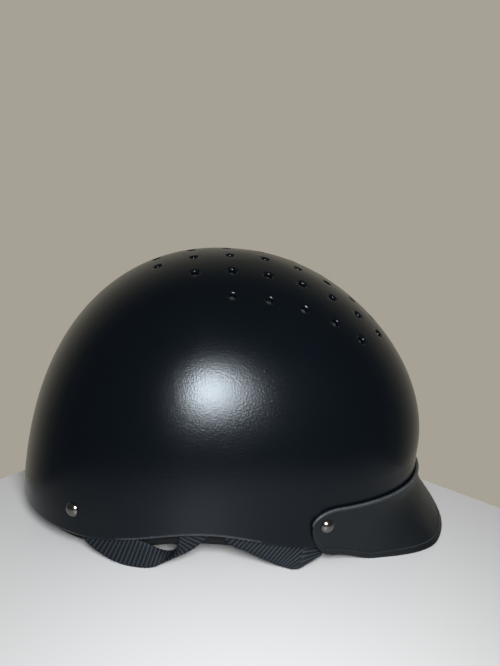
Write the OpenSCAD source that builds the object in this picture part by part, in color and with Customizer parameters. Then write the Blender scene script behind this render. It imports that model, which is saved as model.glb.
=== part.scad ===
// Riding helmet with a short flared peak and a chin harness, standing on its strap loops and peak.
// The peak points to -Y, the wearer's right side is -X, and Z is up. All lengths are in millimetres.
// "Forward" below is the distance ahead of the shell's middle, "side" the distance out to the left.

/* [Shell] */
// Length of the shell from front to back
shell_len = 280; // [260:1:300]
// Width of the shell
shell_w = 212; // [196:1:226]
// Height of the crown above the table
crown_z = 186; // [176:1:196]
// Wall of the shell
shell_t = 3.2; // [2.4:0.1:3.6]
// How far behind the middle the shell is widest
widest_back = 12; // [0:1:20]
// How far forward the crown leans
crown_lean = 13; // [4:1:18]
// Height of the widest line at the front
belly_front = 58; // [52:1:64]
// Height of the widest line at the back
belly_back = 25; // [20:1:32]
// Squareness of the plan at the front, where 2 is an ellipse
plan_front = 2.42; // [2.1:0.02:2.6]
// Squareness of the plan at the back
plan_back = 2.26; // [2.1:0.02:2.6]
// Fullness of the dome at the front, where 2 is round
dome_front = 1.75; // [1.7:0.05:2.2]
// Fullness of the dome at the back
dome_back = 2.3; // [2:0.05:2.5]

/* [Rim] */
// Height of the shell's edge at the front
rim_front = 12; // [9:0.5:15]
// Height of the shell's edge at the back
rim_back = 13; // [10:0.5:16]
// Rise of the edge over the ear
ear_rise = 14.5; // [9:0.5:17]
// How far behind the middle the edge is highest
ear_back = 23; // [14:1:32]
// Half length of the arch over the ear
ear_half = 54; // [44:1:62]

/* [Vents] */
// Bore of a vent hole
vent_d = 4.4; // [3.4:0.1:5.4]
// Diameter of the dish round a vent hole
vent_dish_d = 7.0; // [6:0.1:8.4]
// Depth of that dish
vent_dish_h = 1.1; // [0.6:0.1:1.5]
// Angle between holes along a row
vent_step = 10.75; // [10:0.05:11.4]
// Angle between rows
vent_row_step = 12.6; // [12:0.1:13.4]
// Angle of the rearmost column behind the widest station
vent_start = 24; // [22:0.5:26]

/* [Peak] */
// Wall of the peak
peak_t = 2.6; // [2:0.1:3.2]
// Reach of the peak at its nose, from the shell
peak_nose = 20; // [12:0.5:26]
// Extra reach of the peak at its corners
peak_corner = 3.5; // [0:0.5:8]
// Height of the peak's upper edge
peak_top_z = 42; // [38:0.5:46]
// Height of the nose's edge above the table
peak_nose_z = 2.5; // [0:0.5:6]
// Angle round from the nose at which each wing ends
peak_wing_a = 68; // [66.5:0.5:70]

/* [Rivets] */
// Diameter of a rivet's domed head
rivet_head_d = 9.4; // [8.4:0.2:11]
// Height of the dome
rivet_head_h = 2.6; // [1.8:0.1:3.4]
// Diameter of a rivet's shank
rivet_d = 4.4; // [3.6:0.1:5]
// Angle of the front rivets round from the nose
rivet_front_a = 63.4; // [62:0.1:63.6]
// Height of the front rivets
rivet_front_z = 30.8; // [28:0.1:31]
// Angle of the rear rivets round from the nose
rivet_back_a = 133.6; // [132:0.1:135]
// Height of the rear rivets
rivet_back_z = 31.5; // [30:0.1:33]
// Diameter of the washers inside
washer_d = 10; // [9:0.5:12]
// Thickness of those washers
washer_t = 1; // [0.8:0.1:1.2]

/* [Liner] */
// Thickness of the foam over the crown
foam_top = 26; // [18:1:30]
// Thickness of the foam at the sides
foam_side = 21; // [17:0.5:22]
// Thickness of the foam at the front and back
foam_end = 25; // [20:1:28]
// Height of the foam's lower edge
foam_low = 40; // [38:0.5:44]
// Rise of that edge over the ear, where the straps pass
foam_ear = 11; // [10:0.5:14]
// Bore of an air channel in the foam
channel_d = 7; // [5:0.5:8]
// Height of the headband's lower edge at its ends
band_low = 4; // [3:0.5:7]
// Thickness of the padded headband
band_t = 13; // [9:0.5:14]
// How far inside the shell's outer face the headband hangs
band_inset = 7.6; // [7.4:0.1:9]

/* [Pads] */
// Thickness of the comfort pads
pad_t = 6; // [4:0.5:8]
// Diameter of a hook dot
dot_d = 14; // [10:1:18]
// Thickness of a hook dot
dot_t = 1; // [0.8:0.1:1.2]

/* [Harness] */
// Width of the webbing
web_w = 19; // [17:0.5:20]
// Thickness of the webbing
web_t = 1.8; // [1.4:0.1:2]
// How far behind the middle the harness joints hang
joint_back = 13; // [11:0.5:15]
// Height of the harness joints
joint_z = 36; // [35:0.5:38]
// How far in from the shell's widest point the chin strap's tabs hang
joint_inset = 33; // [32:0.5:35]
// Radius of the pin through a harness joint
pin_r = 2.5; // [2:0.1:3]
// Height of the chin strap's underside where it hangs lowest
chin_z = 6.5; // [6:0.1:8]

/* [Buckle] */
// Length of the buckle's socket
socket_len = 30; // [28:0.5:32]
// Width of the buckle
buckle_w = 27; // [25:0.5:28]
// Height of the buckle
buckle_h = 8.4; // [7.4:0.1:8.6]
// Length of the plug's body
plug_len = 16; // [15:0.5:18]
// Length of a prong from its root
prong_len = 19; // [17:0.5:20]
// Width of the slider and of the keeper along the strap
slider_len = 8; // [6:0.5:9]

/* [Hidden] */

// Gap between two bodies that lie against each other
gap = 0.3;
// Overshoot of a cutting tool past the face that it cuts
past = 1;
// Depth of a cut from outside the shell to inside the foam
bore_len = 60;
// Half axes of the plan ahead of and behind the widest station
ahead = shell_len / 2 + widest_back;
behind = shell_len / 2 - widest_back;
// Distance of the chin strap's tabs from the middle
joint_side = shell_w / 2 - joint_inset;
// Half length of the bores for the rivets
bore_half = 12;
// Insets of the shell's faces at end, side and top
outer_in = [0, 0, 0];
inner_in = [shell_t, shell_t, shell_t];
// The peak's wings: their rounded length and middle height, the rise of their lower edge,
// and millimetres along the shell for each degree
wing_len = 18;
wing_mid_z = 31;
wing_rise = 9;
mm_per_deg = 2.7;
// The rise starts this far ahead of a wing's end, over this span of angles
rise_from = 5.5;
rise_span = 14;
// The peak flares out ahead of this angle, over this span of angles
flare_a = 54.6;
flare_span = 25;
// Depth of the flats that the peak stands on
worn = 0.7;
// Reach of the nose beyond the shell, which sets the shift that centres the whole helmet on the origin
nose_reach = max([for (a = [0:20]) peak_pt(a, 1, peak_t)[0]]) - shell_len / 2;
y_mid = nose_reach / 2;
// Steps round the shell and up its dome
n_round = 72;
n_dome = 12;
n_wall = 3;
// Columns and rows of the peak
peak_cols = 56;
peak_rows = 9;

// A point given as forward, side and height becomes a point of the helmet
function place(p) = [p[1], y_mid - p[0], p[2]];
function unit(v) = v / norm(v);
function mix(front, back, a) = (front + back) / 2 + (front - back) / 2 * cos(a);
function smooth(t) = let (s = min(1, max(0, t))) s * s * (3 - 2 * s);
function ear_bump(f) = exp(-pow((f + ear_back) / ear_half, 2));
function rim_z(f) =
    rim_back + (rim_front - rim_back) * (f + shell_len / 2) / shell_len + ear_rise * ear_bump(f);

// The egg-shaped plan, at an angle round from the nose, drawn in by separate amounts at end and side
function plan_reach(a) =
    let (n = mix(plan_front, plan_back, a))
    pow(pow(abs(cos(a)), n) + pow(abs(sin(a)), n), -1 / n);
function plan_pt(a, end_in, side_in) = [
    -widest_back + ((cos(a) > 0 ? ahead : behind) - end_in) * plan_reach(a) * cos(a),
    (shell_w / 2 - side_in) * plan_reach(a) * sin(a)];
function plan_out(a, end_in = 0, side_in = 0) =
    let (d = plan_pt(a + 0.5, end_in, side_in) - plan_pt(a - 0.5, end_in, side_in))
    unit([d[1], -d[0]]);

// The dome at a share r of the plan's reach, with insets at end, side and top
function dome_rise(a, r) = let (m = mix(dome_front, dome_back, a)) pow(1 - pow(min(1, r), m), 1 / m);
function belly_z(a) = mix(belly_front, belly_back, a);
function dome_pt(a, r, inset) =
    let (p = plan_pt(a, inset[0], inset[1]), h = dome_rise(a, r), z0 = belly_z(a))
    [-widest_back + (p[0] + widest_back) * r + crown_lean * h, p[1] * r,
     z0 + (crown_z - inset[2] - z0) * h];
// The wall or dome at an angle and a height
function skin_pt(a, z, inset) =
    let (z0 = belly_z(a), m = mix(dome_front, dome_back, a), h = (z - z0) / (crown_z - inset[2] - z0))
    h <= 0 ? concat(plan_pt(a, inset[0], inset[1]), z)
           : dome_pt(a, pow(1 - pow(h, m), 1 / m), inset);
function skin_out(a, z, inset) =
    unit(cross(skin_pt(a + 0.5, z, inset) - skin_pt(a - 0.5, z, inset),
               skin_pt(a, z + 0.5, inset) - skin_pt(a, z - 0.5, inset)));
// The dome over a plan point given ahead of the widest station, before the crown's lean
function over_pt(f, s, inset) =
    let (x = f / ((f > 0 ? ahead : behind) - inset[0]), y = s / (shell_w / 2 - inset[1]),
         a = atan2(y, x), n = mix(plan_front, plan_back, a),
         r = pow(pow(abs(x), n) + pow(abs(y), n), 1 / n))
    dome_pt(a, r, inset);
function over_out(f, s, inset) =
    unit(cross(over_pt(f + 1, s, inset) - over_pt(f - 1, s, inset),
               over_pt(f, s + 1, inset) - over_pt(f, s - 1, inset)));

// Insets of the foam's faces
foam_gap = 0.8;
foam_out_in = inner_in + [foam_gap, foam_gap, foam_gap];
foam_in_in = foam_out_in + [foam_end, foam_side, foam_top];

// Rings of a cap from its lower edge up to the pole: a wall, then the dome
wall_least = 4;
pole_stop = 88;
function cap_low(a, inset, edge) = edge(plan_pt(a, inset[0], inset[1])[0]);
function cap_start(a, inset, edge) = max(belly_z(a), cap_low(a, inset, edge) + wall_least);
function cap_rings(inset, edge) = concat(
    [for (k = [0:n_wall - 1]) [for (i = [0:n_round - 1])
        let (a = 360 * i / n_round, low = cap_low(a, inset, edge), start = cap_start(a, inset, edge))
        skin_pt(a, low + (start - low) * k / n_wall, inset)]],
    [for (k = [0:n_dome - 1]) [for (i = [0:n_round - 1])
        let (a = 360 * i / n_round, z0 = belly_z(a), m = mix(dome_front, dome_back, a),
             h0 = (cap_start(a, inset, edge) - z0) / (crown_z - inset[2] - z0),
             t0 = acos(pow(1 - pow(max(0, h0), m), 1 / m)))
        dome_pt(a, cos(t0 + (pole_stop - t0) * k / (n_dome - 1)), inset)]]);

// Triangles of a strip between two closed rings of n points that start at i0 and j0
function strip(n, i0, j0, flip) = [for (i = [0:n - 1])
    let (k = (i + 1) % n, a = i0 + i, b = i0 + k, c = j0 + i, d = j0 + k)
    each (flip ? [[a, d, b], [a, c, d]] : [[a, b, d], [a, d, c]])];
function fan(n, i0, pole, flip) = [for (i = [0:n - 1]) let (k = (i + 1) % n)
    flip ? [i0 + i, pole, i0 + k] : [i0 + i, i0 + k, pole]];
function flatten(l) = [for (r = l) each r];

// A closed cup between an outer and an inner cap that share an edge height
module cup(out_in, in_in, edge) {
    out_rings = cap_rings(out_in, edge);
    in_rings = cap_rings(in_in, edge);
    rings = len(out_rings);
    n = n_round;
    count = rings * n;
    pole_out = [crown_lean - widest_back, 0, crown_z - out_in[2]];
    pole_in = [crown_lean - widest_back, 0, crown_z - in_in[2]];
    pts = concat(flatten(out_rings), [pole_out], flatten(in_rings), [pole_in]);
    faces = concat(
        flatten([for (k = [0:rings - 2]) strip(n, k * n, (k + 1) * n, true)]),
        fan(n, (rings - 1) * n, count, true),
        flatten([for (k = [0:rings - 2]) strip(n, count + 1 + k * n, count + 1 + (k + 1) * n, false)]),
        fan(n, count + 1 + (rings - 1) * n, 2 * count + 1, false),
        strip(n, 0, count + 1, false));
    polyhedron([for (p = pts) place(p)], faces, convexity = 8);
}

// Puts a child that points along +Z at a point with its axis along a direction
module aim(at, dir) {
    d = unit(dir);
    translate(at) rotate([0, acos(d[2]), atan2(d[1], d[0])]) children();
}

// Vent holes: columns of each row outward from the centre line
row_columns = [[0:7], [1:7], [2:6]];
row_reach = 100;
column_reach = 130;
vents = [for (row = [0:2]) for (side = [-1, 1]) for (col = row_columns[row])
    [column_reach * sin(col * vent_step - vent_start),
     side * row_reach * sin((row + 0.5) * vent_row_step)]];

module outer_shell() {
    color([0.05, 0.055, 0.06]) difference() {
        cup(outer_in, inner_in, function (f) rim_z(f));
        for (v = vents) {
            p = place(over_pt(v[0], v[1], outer_in));
            d = place(over_pt(v[0], v[1], outer_in) + over_out(v[0], v[1], outer_in)) - p;
            aim(p, d) {
                translate([0, 0, -shell_t - past]) cylinder(h = shell_t + 2 * past, d = vent_d, $fn = 32);
                translate([0, 0, -vent_dish_h])
                    cylinder(h = vent_dish_h + past, d1 = vent_d, d2 = vent_dish_d + past, $fn = 32);
            }
        }
        for (s = [-1, 1]) {
            rivet_bore(rivet_front_a, rivet_front_z, s, rivet_d + 0.2);
            rivet_bore(rivet_back_a, rivet_back_z, s, rivet_d + 0.2);
        }
    }
}

// Places a child on a rivet's axis, with the shell's outer face at height 0
module at_rivet(a, z, side) {
    p = skin_pt(side * a, z, outer_in);
    aim(place(p), place(p + skin_out(side * a, z, outer_in)) - place(p)) children();
}

module rivet_bore(a, z, side, d) {
    at_rivet(a, z, side) translate([0, 0, -bore_half]) cylinder(h = 2 * bore_half, d = d, $fn = 32);
}

function foam_edge(f) = foam_low + foam_ear * ear_bump(f);

module foam_liner() {
    color([0.13, 0.13, 0.14]) difference() {
        cup(foam_out_in, foam_in_in, function (f) foam_edge(f));
        for (v = vents) {
            p = place(over_pt(v[0], v[1], outer_in));
            d = place(over_pt(v[0], v[1], outer_in) + over_out(v[0], v[1], outer_in)) - p;
            aim(p, d) translate([0, 0, -bore_len]) cylinder(h = bore_len, d = channel_d, $fn = 32);
        }
    }
}

// The headband: a padded ring with a rounded section
band_top_end = foam_low - gap;
band_top_ear = 38;
band_round = 3;
band_rise = 12;
function band_bottom(f) = band_low + band_rise * ear_bump(f);
function band_top(f) = band_top_end + (band_top_ear - band_top_end) * ear_bump(f);
// Its outer face steps in above the lower roll, to clear the rivets' washers
band_roll = 8;
band_step = 3.4;
band_slope = 4;
function band_ring(a) =
    let (f = plan_pt(a, band_inset, band_inset)[0], lo = band_bottom(f), hi = band_top(f),
         r = band_round, c = 0.3 * r, out = band_inset, up = out + band_step, in = out + band_t)
    [for (q = [[out + r, lo], [out + c, lo + c], [out, lo + r], [out, lo + band_roll],
               [up, lo + band_roll + band_slope], [up, hi - r], [up + r, hi], [in - r, hi],
               [in, hi - r], [in, lo + r], [in - c, lo + c], [in - r, lo]])
        concat(plan_pt(a, q[0], q[0]), q[1])];

module headband() {
    n = 12;
    m = n_round;
    pts = [for (i = [0:m - 1]) each [for (p = band_ring(360 * i / m)) place(p)]];
    faces = flatten([for (i = [0:m - 1]) strip(n, i * n, ((i + 1) % m) * n, false)]);
    color([0.09, 0.09, 0.1]) polyhedron(pts, faces, convexity = 8);
}

// The peak: a thin skirt that hugs the shell at the wings and flares out at the nose
function wing_dist(a) = (peak_wing_a - abs(a)) * mm_per_deg;
function quarter(t) = let (s = 1 - min(1, max(0, t))) sqrt(1 - s * s);
function flare(a) = smooth((flare_a - abs(a)) / flare_span);
function peak_out(a) = flare(a) * (peak_nose + peak_corner * pow(sin(3 * a), 2));
function wing_lift(a) = wing_rise * (1 - smooth((peak_wing_a - rise_from - abs(a)) / rise_span));
function peak_edge_z(a) = wing_lift(a) + (peak_nose_z + worn) * pow(max(0, cos(2 * a)), 2) - worn;
function wing_round(a) = quarter(wing_dist(a) / wing_len);
function peak_hi(a) = wing_mid_z + (peak_top_z - wing_mid_z) * wing_round(a);
function peak_lo(a) = wing_mid_z + (peak_edge_z(a) - wing_mid_z) * wing_round(a);
function peak_profile(a, t) =
    let (z = peak_hi(a) + (peak_lo(a) - peak_hi(a)) * t, s = skin_pt(a, z, outer_in), o = plan_out(a),
         out = gap + peak_out(a) * pow(max(0, (t - 0.12) / 0.88), 1.6))
    [s[0] + o[0] * out, s[1] + o[1] * out, z];
function peak_pt(a, t, depth) =
    let (p = peak_profile(a, t), da = peak_profile(a + 0.4, t) - peak_profile(a - 0.4, t),
         dt = peak_profile(a, min(1, t + 0.03)) - peak_profile(a, max(0, t - 0.03)))
    p + unit(cross(dt, da)) * depth;
peak_end_a = peak_wing_a - 0.15;

module visor() {
    n = 2 * (peak_rows + 1);
    m = peak_cols + 1;
    rings = [for (i = [0:peak_cols]) let (a = peak_end_a * sin(90 * (2 * i / peak_cols - 1)))
        concat([for (k = [0:peak_rows]) peak_pt(a, k / peak_rows, 0)],
               [for (k = [0:peak_rows]) peak_pt(a, 1 - k / peak_rows, peak_t)])];
    pts = [for (r = rings) each [for (p = r) place(p)]];
    ends = [for (k = [0:peak_rows - 1]) each
        [[k, n - 1 - k, k + 1], [k + 1, n - 1 - k, n - 2 - k]]];
    last = (m - 1) * n;
    faces = concat(flatten([for (i = [0:m - 2]) strip(n, i * n, (i + 1) * n, false)]),
        [for (t = ends) [t[0], t[1], t[2]]], [for (t = ends) [last + t[0], last + t[2], last + t[1]]]);
    color([0.06, 0.065, 0.07]) difference() {
        polyhedron(pts, faces, convexity = 8);
        for (s = [-1, 1]) rivet_bore(rivet_front_a, rivet_front_z, s, rivet_d + 0.2);
        translate([-shell_w, -shell_len, -shell_w]) cube([2 * shell_w, shell_len, shell_w]);
    }
}

// A rivet: a domed head over a shank that ends in a flared foot behind the washer
// The straps' tabs lie a little inside the wall, which curves away behind their edges
tab_gap = 0.9;
washer_gap = 1.1;
strap_depth = shell_t + tab_gap;
washer_depth = strap_depth + web_t + washer_gap;
foot_h = 0.8;
head_gap = 0.15;
module rivet(lift) {
    foot = washer_depth + washer_t + gap;
    dome_r = (pow(rivet_head_d / 2, 2) + pow(rivet_head_h, 2)) / (2 * rivet_head_h);
    half = asin(rivet_head_d / 2 / dome_r);
    shank = rivet_d / 2;
    rotate_extrude($fn = 48) polygon(concat(
        [for (t = [0:6]) let (q = half * t / 6)
            [dome_r * sin(q), lift + rivet_head_h - dome_r * (1 - cos(q))]],
        [[shank, lift], [shank, -foot], [shank + 1.5 * foot_h, -foot],
         [shank + foot_h, -foot - foot_h], [0, -foot - foot_h]]));
}

module front_rivets() {
    color([0.75, 0.75, 0.76]) for (s = [-1, 1])
        at_rivet(rivet_front_a, rivet_front_z, s) rivet(gap + peak_t + head_gap + 0.1);
}

module rear_rivets() {
    color([0.75, 0.75, 0.76]) for (s = [-1, 1])
        at_rivet(rivet_back_a, rivet_back_z, s) rivet(head_gap);
}

module washer() {
    translate([0, 0, -washer_depth - washer_t]) difference() {
        cylinder(h = washer_t, d = washer_d, $fn = 40);
        translate([0, 0, -past]) cylinder(h = washer_t + 2 * past, d = rivet_d + 0.2, $fn = 32);
    }
}

module rivet_washers() {
    color([0.6, 0.6, 0.62]) for (s = [-1, 1]) {
        at_rivet(rivet_front_a, rivet_front_z, s) washer();
        at_rivet(rivet_back_a, rivet_back_z, s) washer();
    }
}

// Webbing: a ribbon between two rails. Each station gives the two edges as forward, side and height
web_steps = 3;
function spline(p0, p1, p2, p3, t) =
    0.5 * (2 * p1 + (p2 - p0) * t + (2 * p0 - 5 * p1 + 4 * p2 - p3) * t * t
        + (3 * p1 - p0 - 3 * p2 + p3) * t * t * t);
function along(pts) = let (n = len(pts)) concat(
    [for (i = [0:n - 2]) each [for (k = [0:web_steps - 1])
        spline(pts[max(0, i - 1)], pts[i], pts[i + 1], pts[min(n - 1, i + 2)], k / web_steps)]],
    [pts[n - 1]]);
module webbing(route) {
    a = along([for (s = route) s[0]]);
    b = along([for (s = route) s[1]]);
    c = (a + b) / 2;
    n = len(a);
    rings = [for (i = [0:n - 1])
        let (t = c[min(n - 1, i + 1)] - c[max(0, i - 1)], v = unit(cross(t, a[i] - b[i])) * web_t / 2)
        [a[i] + v, a[i] - v, b[i] - v, b[i] + v]];
    pts = [for (r = rings) each [for (p = r) place(p)]];
    last = 4 * (n - 1);
    faces = concat(flatten([for (i = [0:n - 2]) strip(4, 4 * i, 4 * i + 4, false)]),
        [[0, 2, 1], [0, 3, 2], [last, last + 1, last + 2], [last, last + 2, last + 3]]);
    polyhedron(pts, faces, convexity = 6);
}

joint_fwd = -joint_back;
// The left-hand routes from a rivet to the harness joint, as laid out on a shell of this length,
// width and widest station, with the joint at this place
route_len = 280;
route_w = 212;
route_back = 12;
route_joint = [-13, 73, 36];
rear_route = [
    [[-97.2, 77.2, 40], [-108.8, 68.7, 28.6]], [[-95.9, 80, 38.2], [-106.3, 72, 24.8]],
    [[-90, 83.2, 31.5], [-100.4, 75.4, 17.6]], [[-83.2, 86.6, 25], [-93.6, 82, 9.4]],
    [[-75.2, 90.4, 21.6], [-83.2, 88.8, 4.2]], [[-66, 93.6, 19.8], [-72.3, 94.2, 1.2]],
    [[-55.5, 96.6, 16.8], [-60.5, 97.6, 0.2]], [[-47.3, 94.6, 11.8], [-51.5, 98.4, 0.9]],
    [[-39.6, 88.8, 7], [-43.6, 98.6, 5]], [[-37.6, 94.2, 11.4], [-38, 99.6, 8.4]],
    [[-36.8, 99.3, 17.2], [-31.6, 100, 11.6]], [[-36, 100.5, 24], [-24, 100.4, 17.4]],
    [[-34.4, 100.6, 32], [-16.6, 100.6, 26]], [[-33, 100.6, 39.5], [-14.2, 100.4, 35.5]],
    [[-33, 98.6, 43.2], [-14, 98.8, 42.2]], [[-33, 94, 44.6], [-14, 94.2, 44.4]],
    [[-33, 87.6, 44.8], [-14, 87.8, 44.8]], [[-32.4, 81.6, 41], [-14.4, 83.2, 44.8]],
    [[-29, 80.2, 34.6], [-12.6, 80.6, 42.8]], [[-19.7, 79.9, 29.3], [-6.3, 79.9, 42.7]],
    [[-14.7, 79.9, 24.3], [-1.3, 79.9, 37.7]]];
front_route = [
    [[68.4, 90.2, 36], [50, 95.3, 37.2]], [[67.9, 90.4, 28.8], [49.5, 95.6, 30]],
    [[66.4, 91, 20], [47.8, 96.1, 22]], [[64.2, 91.9, 14.2], [45.9, 96.5, 16.2]],
    [[61.2, 94, 11], [43.7, 97.8, 11.2]], [[58.2, 97.4, 10], [40.8, 100, 4]],
    [[57.2, 98, 9.6], [38.8, 100.4, 1.3]], [[56.6, 97, 9.2], [37.6, 99.4, 1.2]],
    [[55.6, 95.9, 9.8], [36.6, 98, 1.2]], [[48, 95.6, 14.8], [31.6, 98.6, 0.9]],
    [[37.4, 97.6, 19.4], [24.6, 100.2, 2.4]], [[26.5, 98.8, 23], [15, 101.2, 6.2]],
    [[17, 100, 27.2], [5.2, 101.2, 11.4]], [[10.5, 100.4, 31], [-2.6, 101, 15.8]],
    [[7.6, 100.6, 35.6], [-9, 101, 24]], [[6.6, 100.4, 40], [-11.8, 100.8, 34]],
    [[6.5, 98.4, 43.4], [-12.5, 98.8, 42]], [[6.5, 94.2, 44.6], [-12.5, 94.2, 44.6]],
    [[6.5, 86.4, 45], [-12.5, 87, 45.2]], [[5.4, 79, 42.4], [-13, 80.2, 46.2]],
    [[-0.8, 77.6, 33.6], [-13.8, 77.6, 47.4]], [[-6.3, 77.5, 29.3], [-19.7, 77.5, 42.7]],
    [[-11.3, 77.5, 24.3], [-24.7, 77.5, 37.7]]];
// How far out from the chin strap's tabs the tabs of the other straps lie
rear_tab_side = joint_side + rear_route[len(rear_route) - 1][0][1] - route_joint[1];
front_tab_side = joint_side + front_route[len(front_route) - 1][0][1] - route_joint[1];
// The routes keep their distance from the shell as it changes, and end on the harness joint
function route_reach(d) = route_len / 2 + sign(d) * route_back;
function with_shell(p) =
    let (d = p[0] + route_back, a = atan2(2 * p[1] / route_w, d / route_reach(d)), r = plan_reach(a),
         laid = [-route_back + route_reach(d) * r * cos(a), route_w / 2 * r * sin(a)],
         now = plan_pt(a, 0, 0))
    p + [now[0] - laid[0], now[1] - laid[1], 0];
function with_joint(p) = p + [joint_fwd, joint_side, joint_z] - route_joint;
// The last few stations pass from the shell's share to the joint's
joint_steps = 3;
ease_steps = 5;
function fitted(route) = [for (i = [0:len(route) - 1])
    let (w = smooth((i - len(route) + joint_steps + ease_steps) / ease_steps))
    [for (p = route[i]) with_shell(p) * (1 - w) + with_joint(p) * w]];

// A pin's axis runs from side to side through the harness joint
joint_y = y_mid - joint_fwd;
joint_bore_in = 8;
module joint_bore(side, r) {
    translate([side * (joint_side - joint_bore_in), joint_y, joint_z]) rotate([0, side * 90, 0])
        cylinder(h = 3 * joint_bore_in, r = r, $fn = 40);
}

module strap(route, a, z) {
    color([0.1, 0.1, 0.11]) difference() {
        webbing(fitted(route));
        rivet_bore(a, z, 1, rivet_d + 0.2);
        joint_bore(1, pin_r + 0.1);
    }
}

module left_front_strap() { strap(front_route, rivet_front_a, rivet_front_z); }
module left_rear_strap() { strap(rear_route, rivet_back_a, rivet_back_z); }
module right_front_strap() { mirror([1, 0, 0]) left_front_strap(); }
module right_rear_strap() { mirror([1, 0, 0]) left_rear_strap(); }

// The plate that spreads the straps at a harness joint
plate_t = 2;
plate_r = 11;
plate_side = joint_side + web_t / 2 + gap;
module divider(side) {
    color([0.08, 0.08, 0.09]) difference() {
        translate([side * plate_side, joint_y, joint_z]) rotate([0, side * 90, 0])
            cylinder(h = plate_t, r = plate_r, $fn = 48);
        joint_bore(side, pin_r + 0.1);
    }
}

module right_divider() { divider(-1); }
module left_divider() { divider(1); }

// The pin through each harness joint, with a head at both ends
pin_head_r = pin_r + 2;
pin_head_t = 1;
pin_in = joint_side - web_t / 2 - gap;
pin_out = rear_tab_side + web_t / 2 + gap;
module divider_pins() {
    color([0.55, 0.55, 0.57]) for (s = [-1, 1]) translate([0, joint_y, joint_z]) rotate([0, s * 90, 0]) {
        translate([0, 0, pin_in]) cylinder(h = pin_out - pin_in, r = pin_r, $fn = 40);
        translate([0, 0, pin_in - pin_head_t]) cylinder(h = pin_head_t, r = pin_head_r, $fn = 40);
        translate([0, 0, pin_out]) cylinder(h = pin_head_t, r = pin_head_r, $fn = 40);
    }
}

// The chin strap's line in the cross plane: down from the joint, round a bend and in to the buckle
bend_r = 18;
function chin_line(end, low) = concat(
    [[joint_side, joint_z]],
    [for (t = [0:10:90]) [joint_side - bend_r * (1 - cos(t)), low + bend_r * (1 - sin(t))]],
    [[end, low]]);
// The left strap turns back on itself inside the plug, and its loose tail lies along its upper face
tail_gap = 0.4;
fold_r = (web_t + tail_gap) / 2;
tail_end = 47;
left_low = chin_z + web_t / 2 - fold_r;
function tail_line(end) = concat(chin_line(end, left_low),
    [for (t = [15:15:180]) [end - fold_r * sin(t), left_low + fold_r * (1 - cos(t))]],
    [[tail_end, left_low + 2 * fold_r]]);
function offset_line(line, d) = let (n = len(line)) [for (i = [0:n - 1])
    let (t = unit(line[min(n - 1, i + 1)] - line[max(0, i - 1)])) line[i] + d * [-t[1], t[0]]];
function reversed(l) = [for (i = [len(l) - 1:-1:0]) l[i]];

module chin_web(side, line) {
    section = concat(offset_line(line, web_t / 2), reversed(offset_line(line, -web_t / 2)));
    color([0.1, 0.1, 0.11]) difference() {
        union() {
            translate([0, joint_y + web_w / 2, 0]) rotate([90, 0, 0]) linear_extrude(web_w)
                polygon([for (p = section) [side * p[0], p[1]]]);
            translate([side * (joint_side - web_t / 2), joint_y, joint_z]) rotate([0, side * 90, 0])
                cylinder(h = web_t, r = web_w / 2, $fn = 48);
        }
        joint_bore(side, pin_r + 0.05);
    }
}

// The buckle lies across the middle: the socket on the right, the plug on the left
mouth_x = 6;
buckle_z = chin_z + web_t / 2 - buckle_h / 2;
socket_in = mouth_x - socket_len;
plug_out = mouth_x + gap + plug_len;
slot_deep = 5;
right_end = -(socket_in + slot_deep - gap);
left_end = plug_out - slot_deep + gap + fold_r + web_t / 2;
module right_chin_strap() { chin_web(-1, chin_line(right_end, chin_z + web_t / 2)); }
module left_chin_strap() { chin_web(1, tail_line(left_end)); }

module round_block(x0, x1, w, z0, h, r) {
    translate([0, joint_y, z0]) linear_extrude(h) hull()
        for (x = [x0 + r, x1 - r]) for (y = [-w / 2 + r, w / 2 - r])
            translate([x, y]) circle(r = r, $fn = 32);
}

module block(x0, x1, w, z0, h, y = 0) {
    translate([x0, joint_y + y - w / 2, z0]) cube([x1 - x0, w, h]);
}

wall = 1.6;
room_w = buckle_w - 2 * wall;
room_h = buckle_h - 2 * wall;
room_z = buckle_z + wall;
web_slot_z = chin_z - gap;
web_slot_h = web_t + 2 * gap;
tail_slot_z = left_low - web_t / 2 - gap;
tail_slot_h = 2 * web_t + tail_gap + 2 * gap;
window_len = 8;
window_x = mouth_x - prong_len + 1;
module buckle_socket() {
    color([0.07, 0.07, 0.08]) difference() {
        round_block(socket_in, mouth_x, buckle_w, buckle_z, buckle_h, 3);
        block(socket_in + slot_deep + wall, mouth_x + past, room_w, room_z, room_h);
        block(socket_in - past, socket_in + slot_deep, web_w + 2 * gap, web_slot_z, web_slot_h);
        block(window_x - 1, window_x + window_len, buckle_w + 2 * past, room_z, room_h);
    }
}

// The plug: a body with a middle tongue, and two prongs that pivot in its face
prong_y = 8;
prong_t = 2.6;
prong_h = room_h - 2 * gap;
prong_z = room_z + gap;
prong_root_x = mouth_x + 3.4;
root_r = 2;
tongue_w = 5;
tongue_len = 15;
module buckle_plug() {
    color([0.07, 0.07, 0.08]) difference() {
        union() {
            round_block(mouth_x + gap, plug_out, buckle_w - 1, buckle_z + 0.2, buckle_h - 0.4, 3);
            block(mouth_x - tongue_len, mouth_x + 4, tongue_w, prong_z, prong_h);
        }
        block(plug_out - slot_deep, plug_out + past, web_w + 2 * gap, tail_slot_z, tail_slot_h);
        for (s = [-1, 1]) {
            translate([prong_root_x, joint_y + s * prong_y, prong_z - gap])
                cylinder(h = prong_h + 2 * gap, r = root_r + 0.06, $fn = 40);
            block(mouth_x - past, prong_root_x, prong_t + 1.6, prong_z - gap,
                prong_h + 2 * gap, s * prong_y);
        }
    }
}

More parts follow.
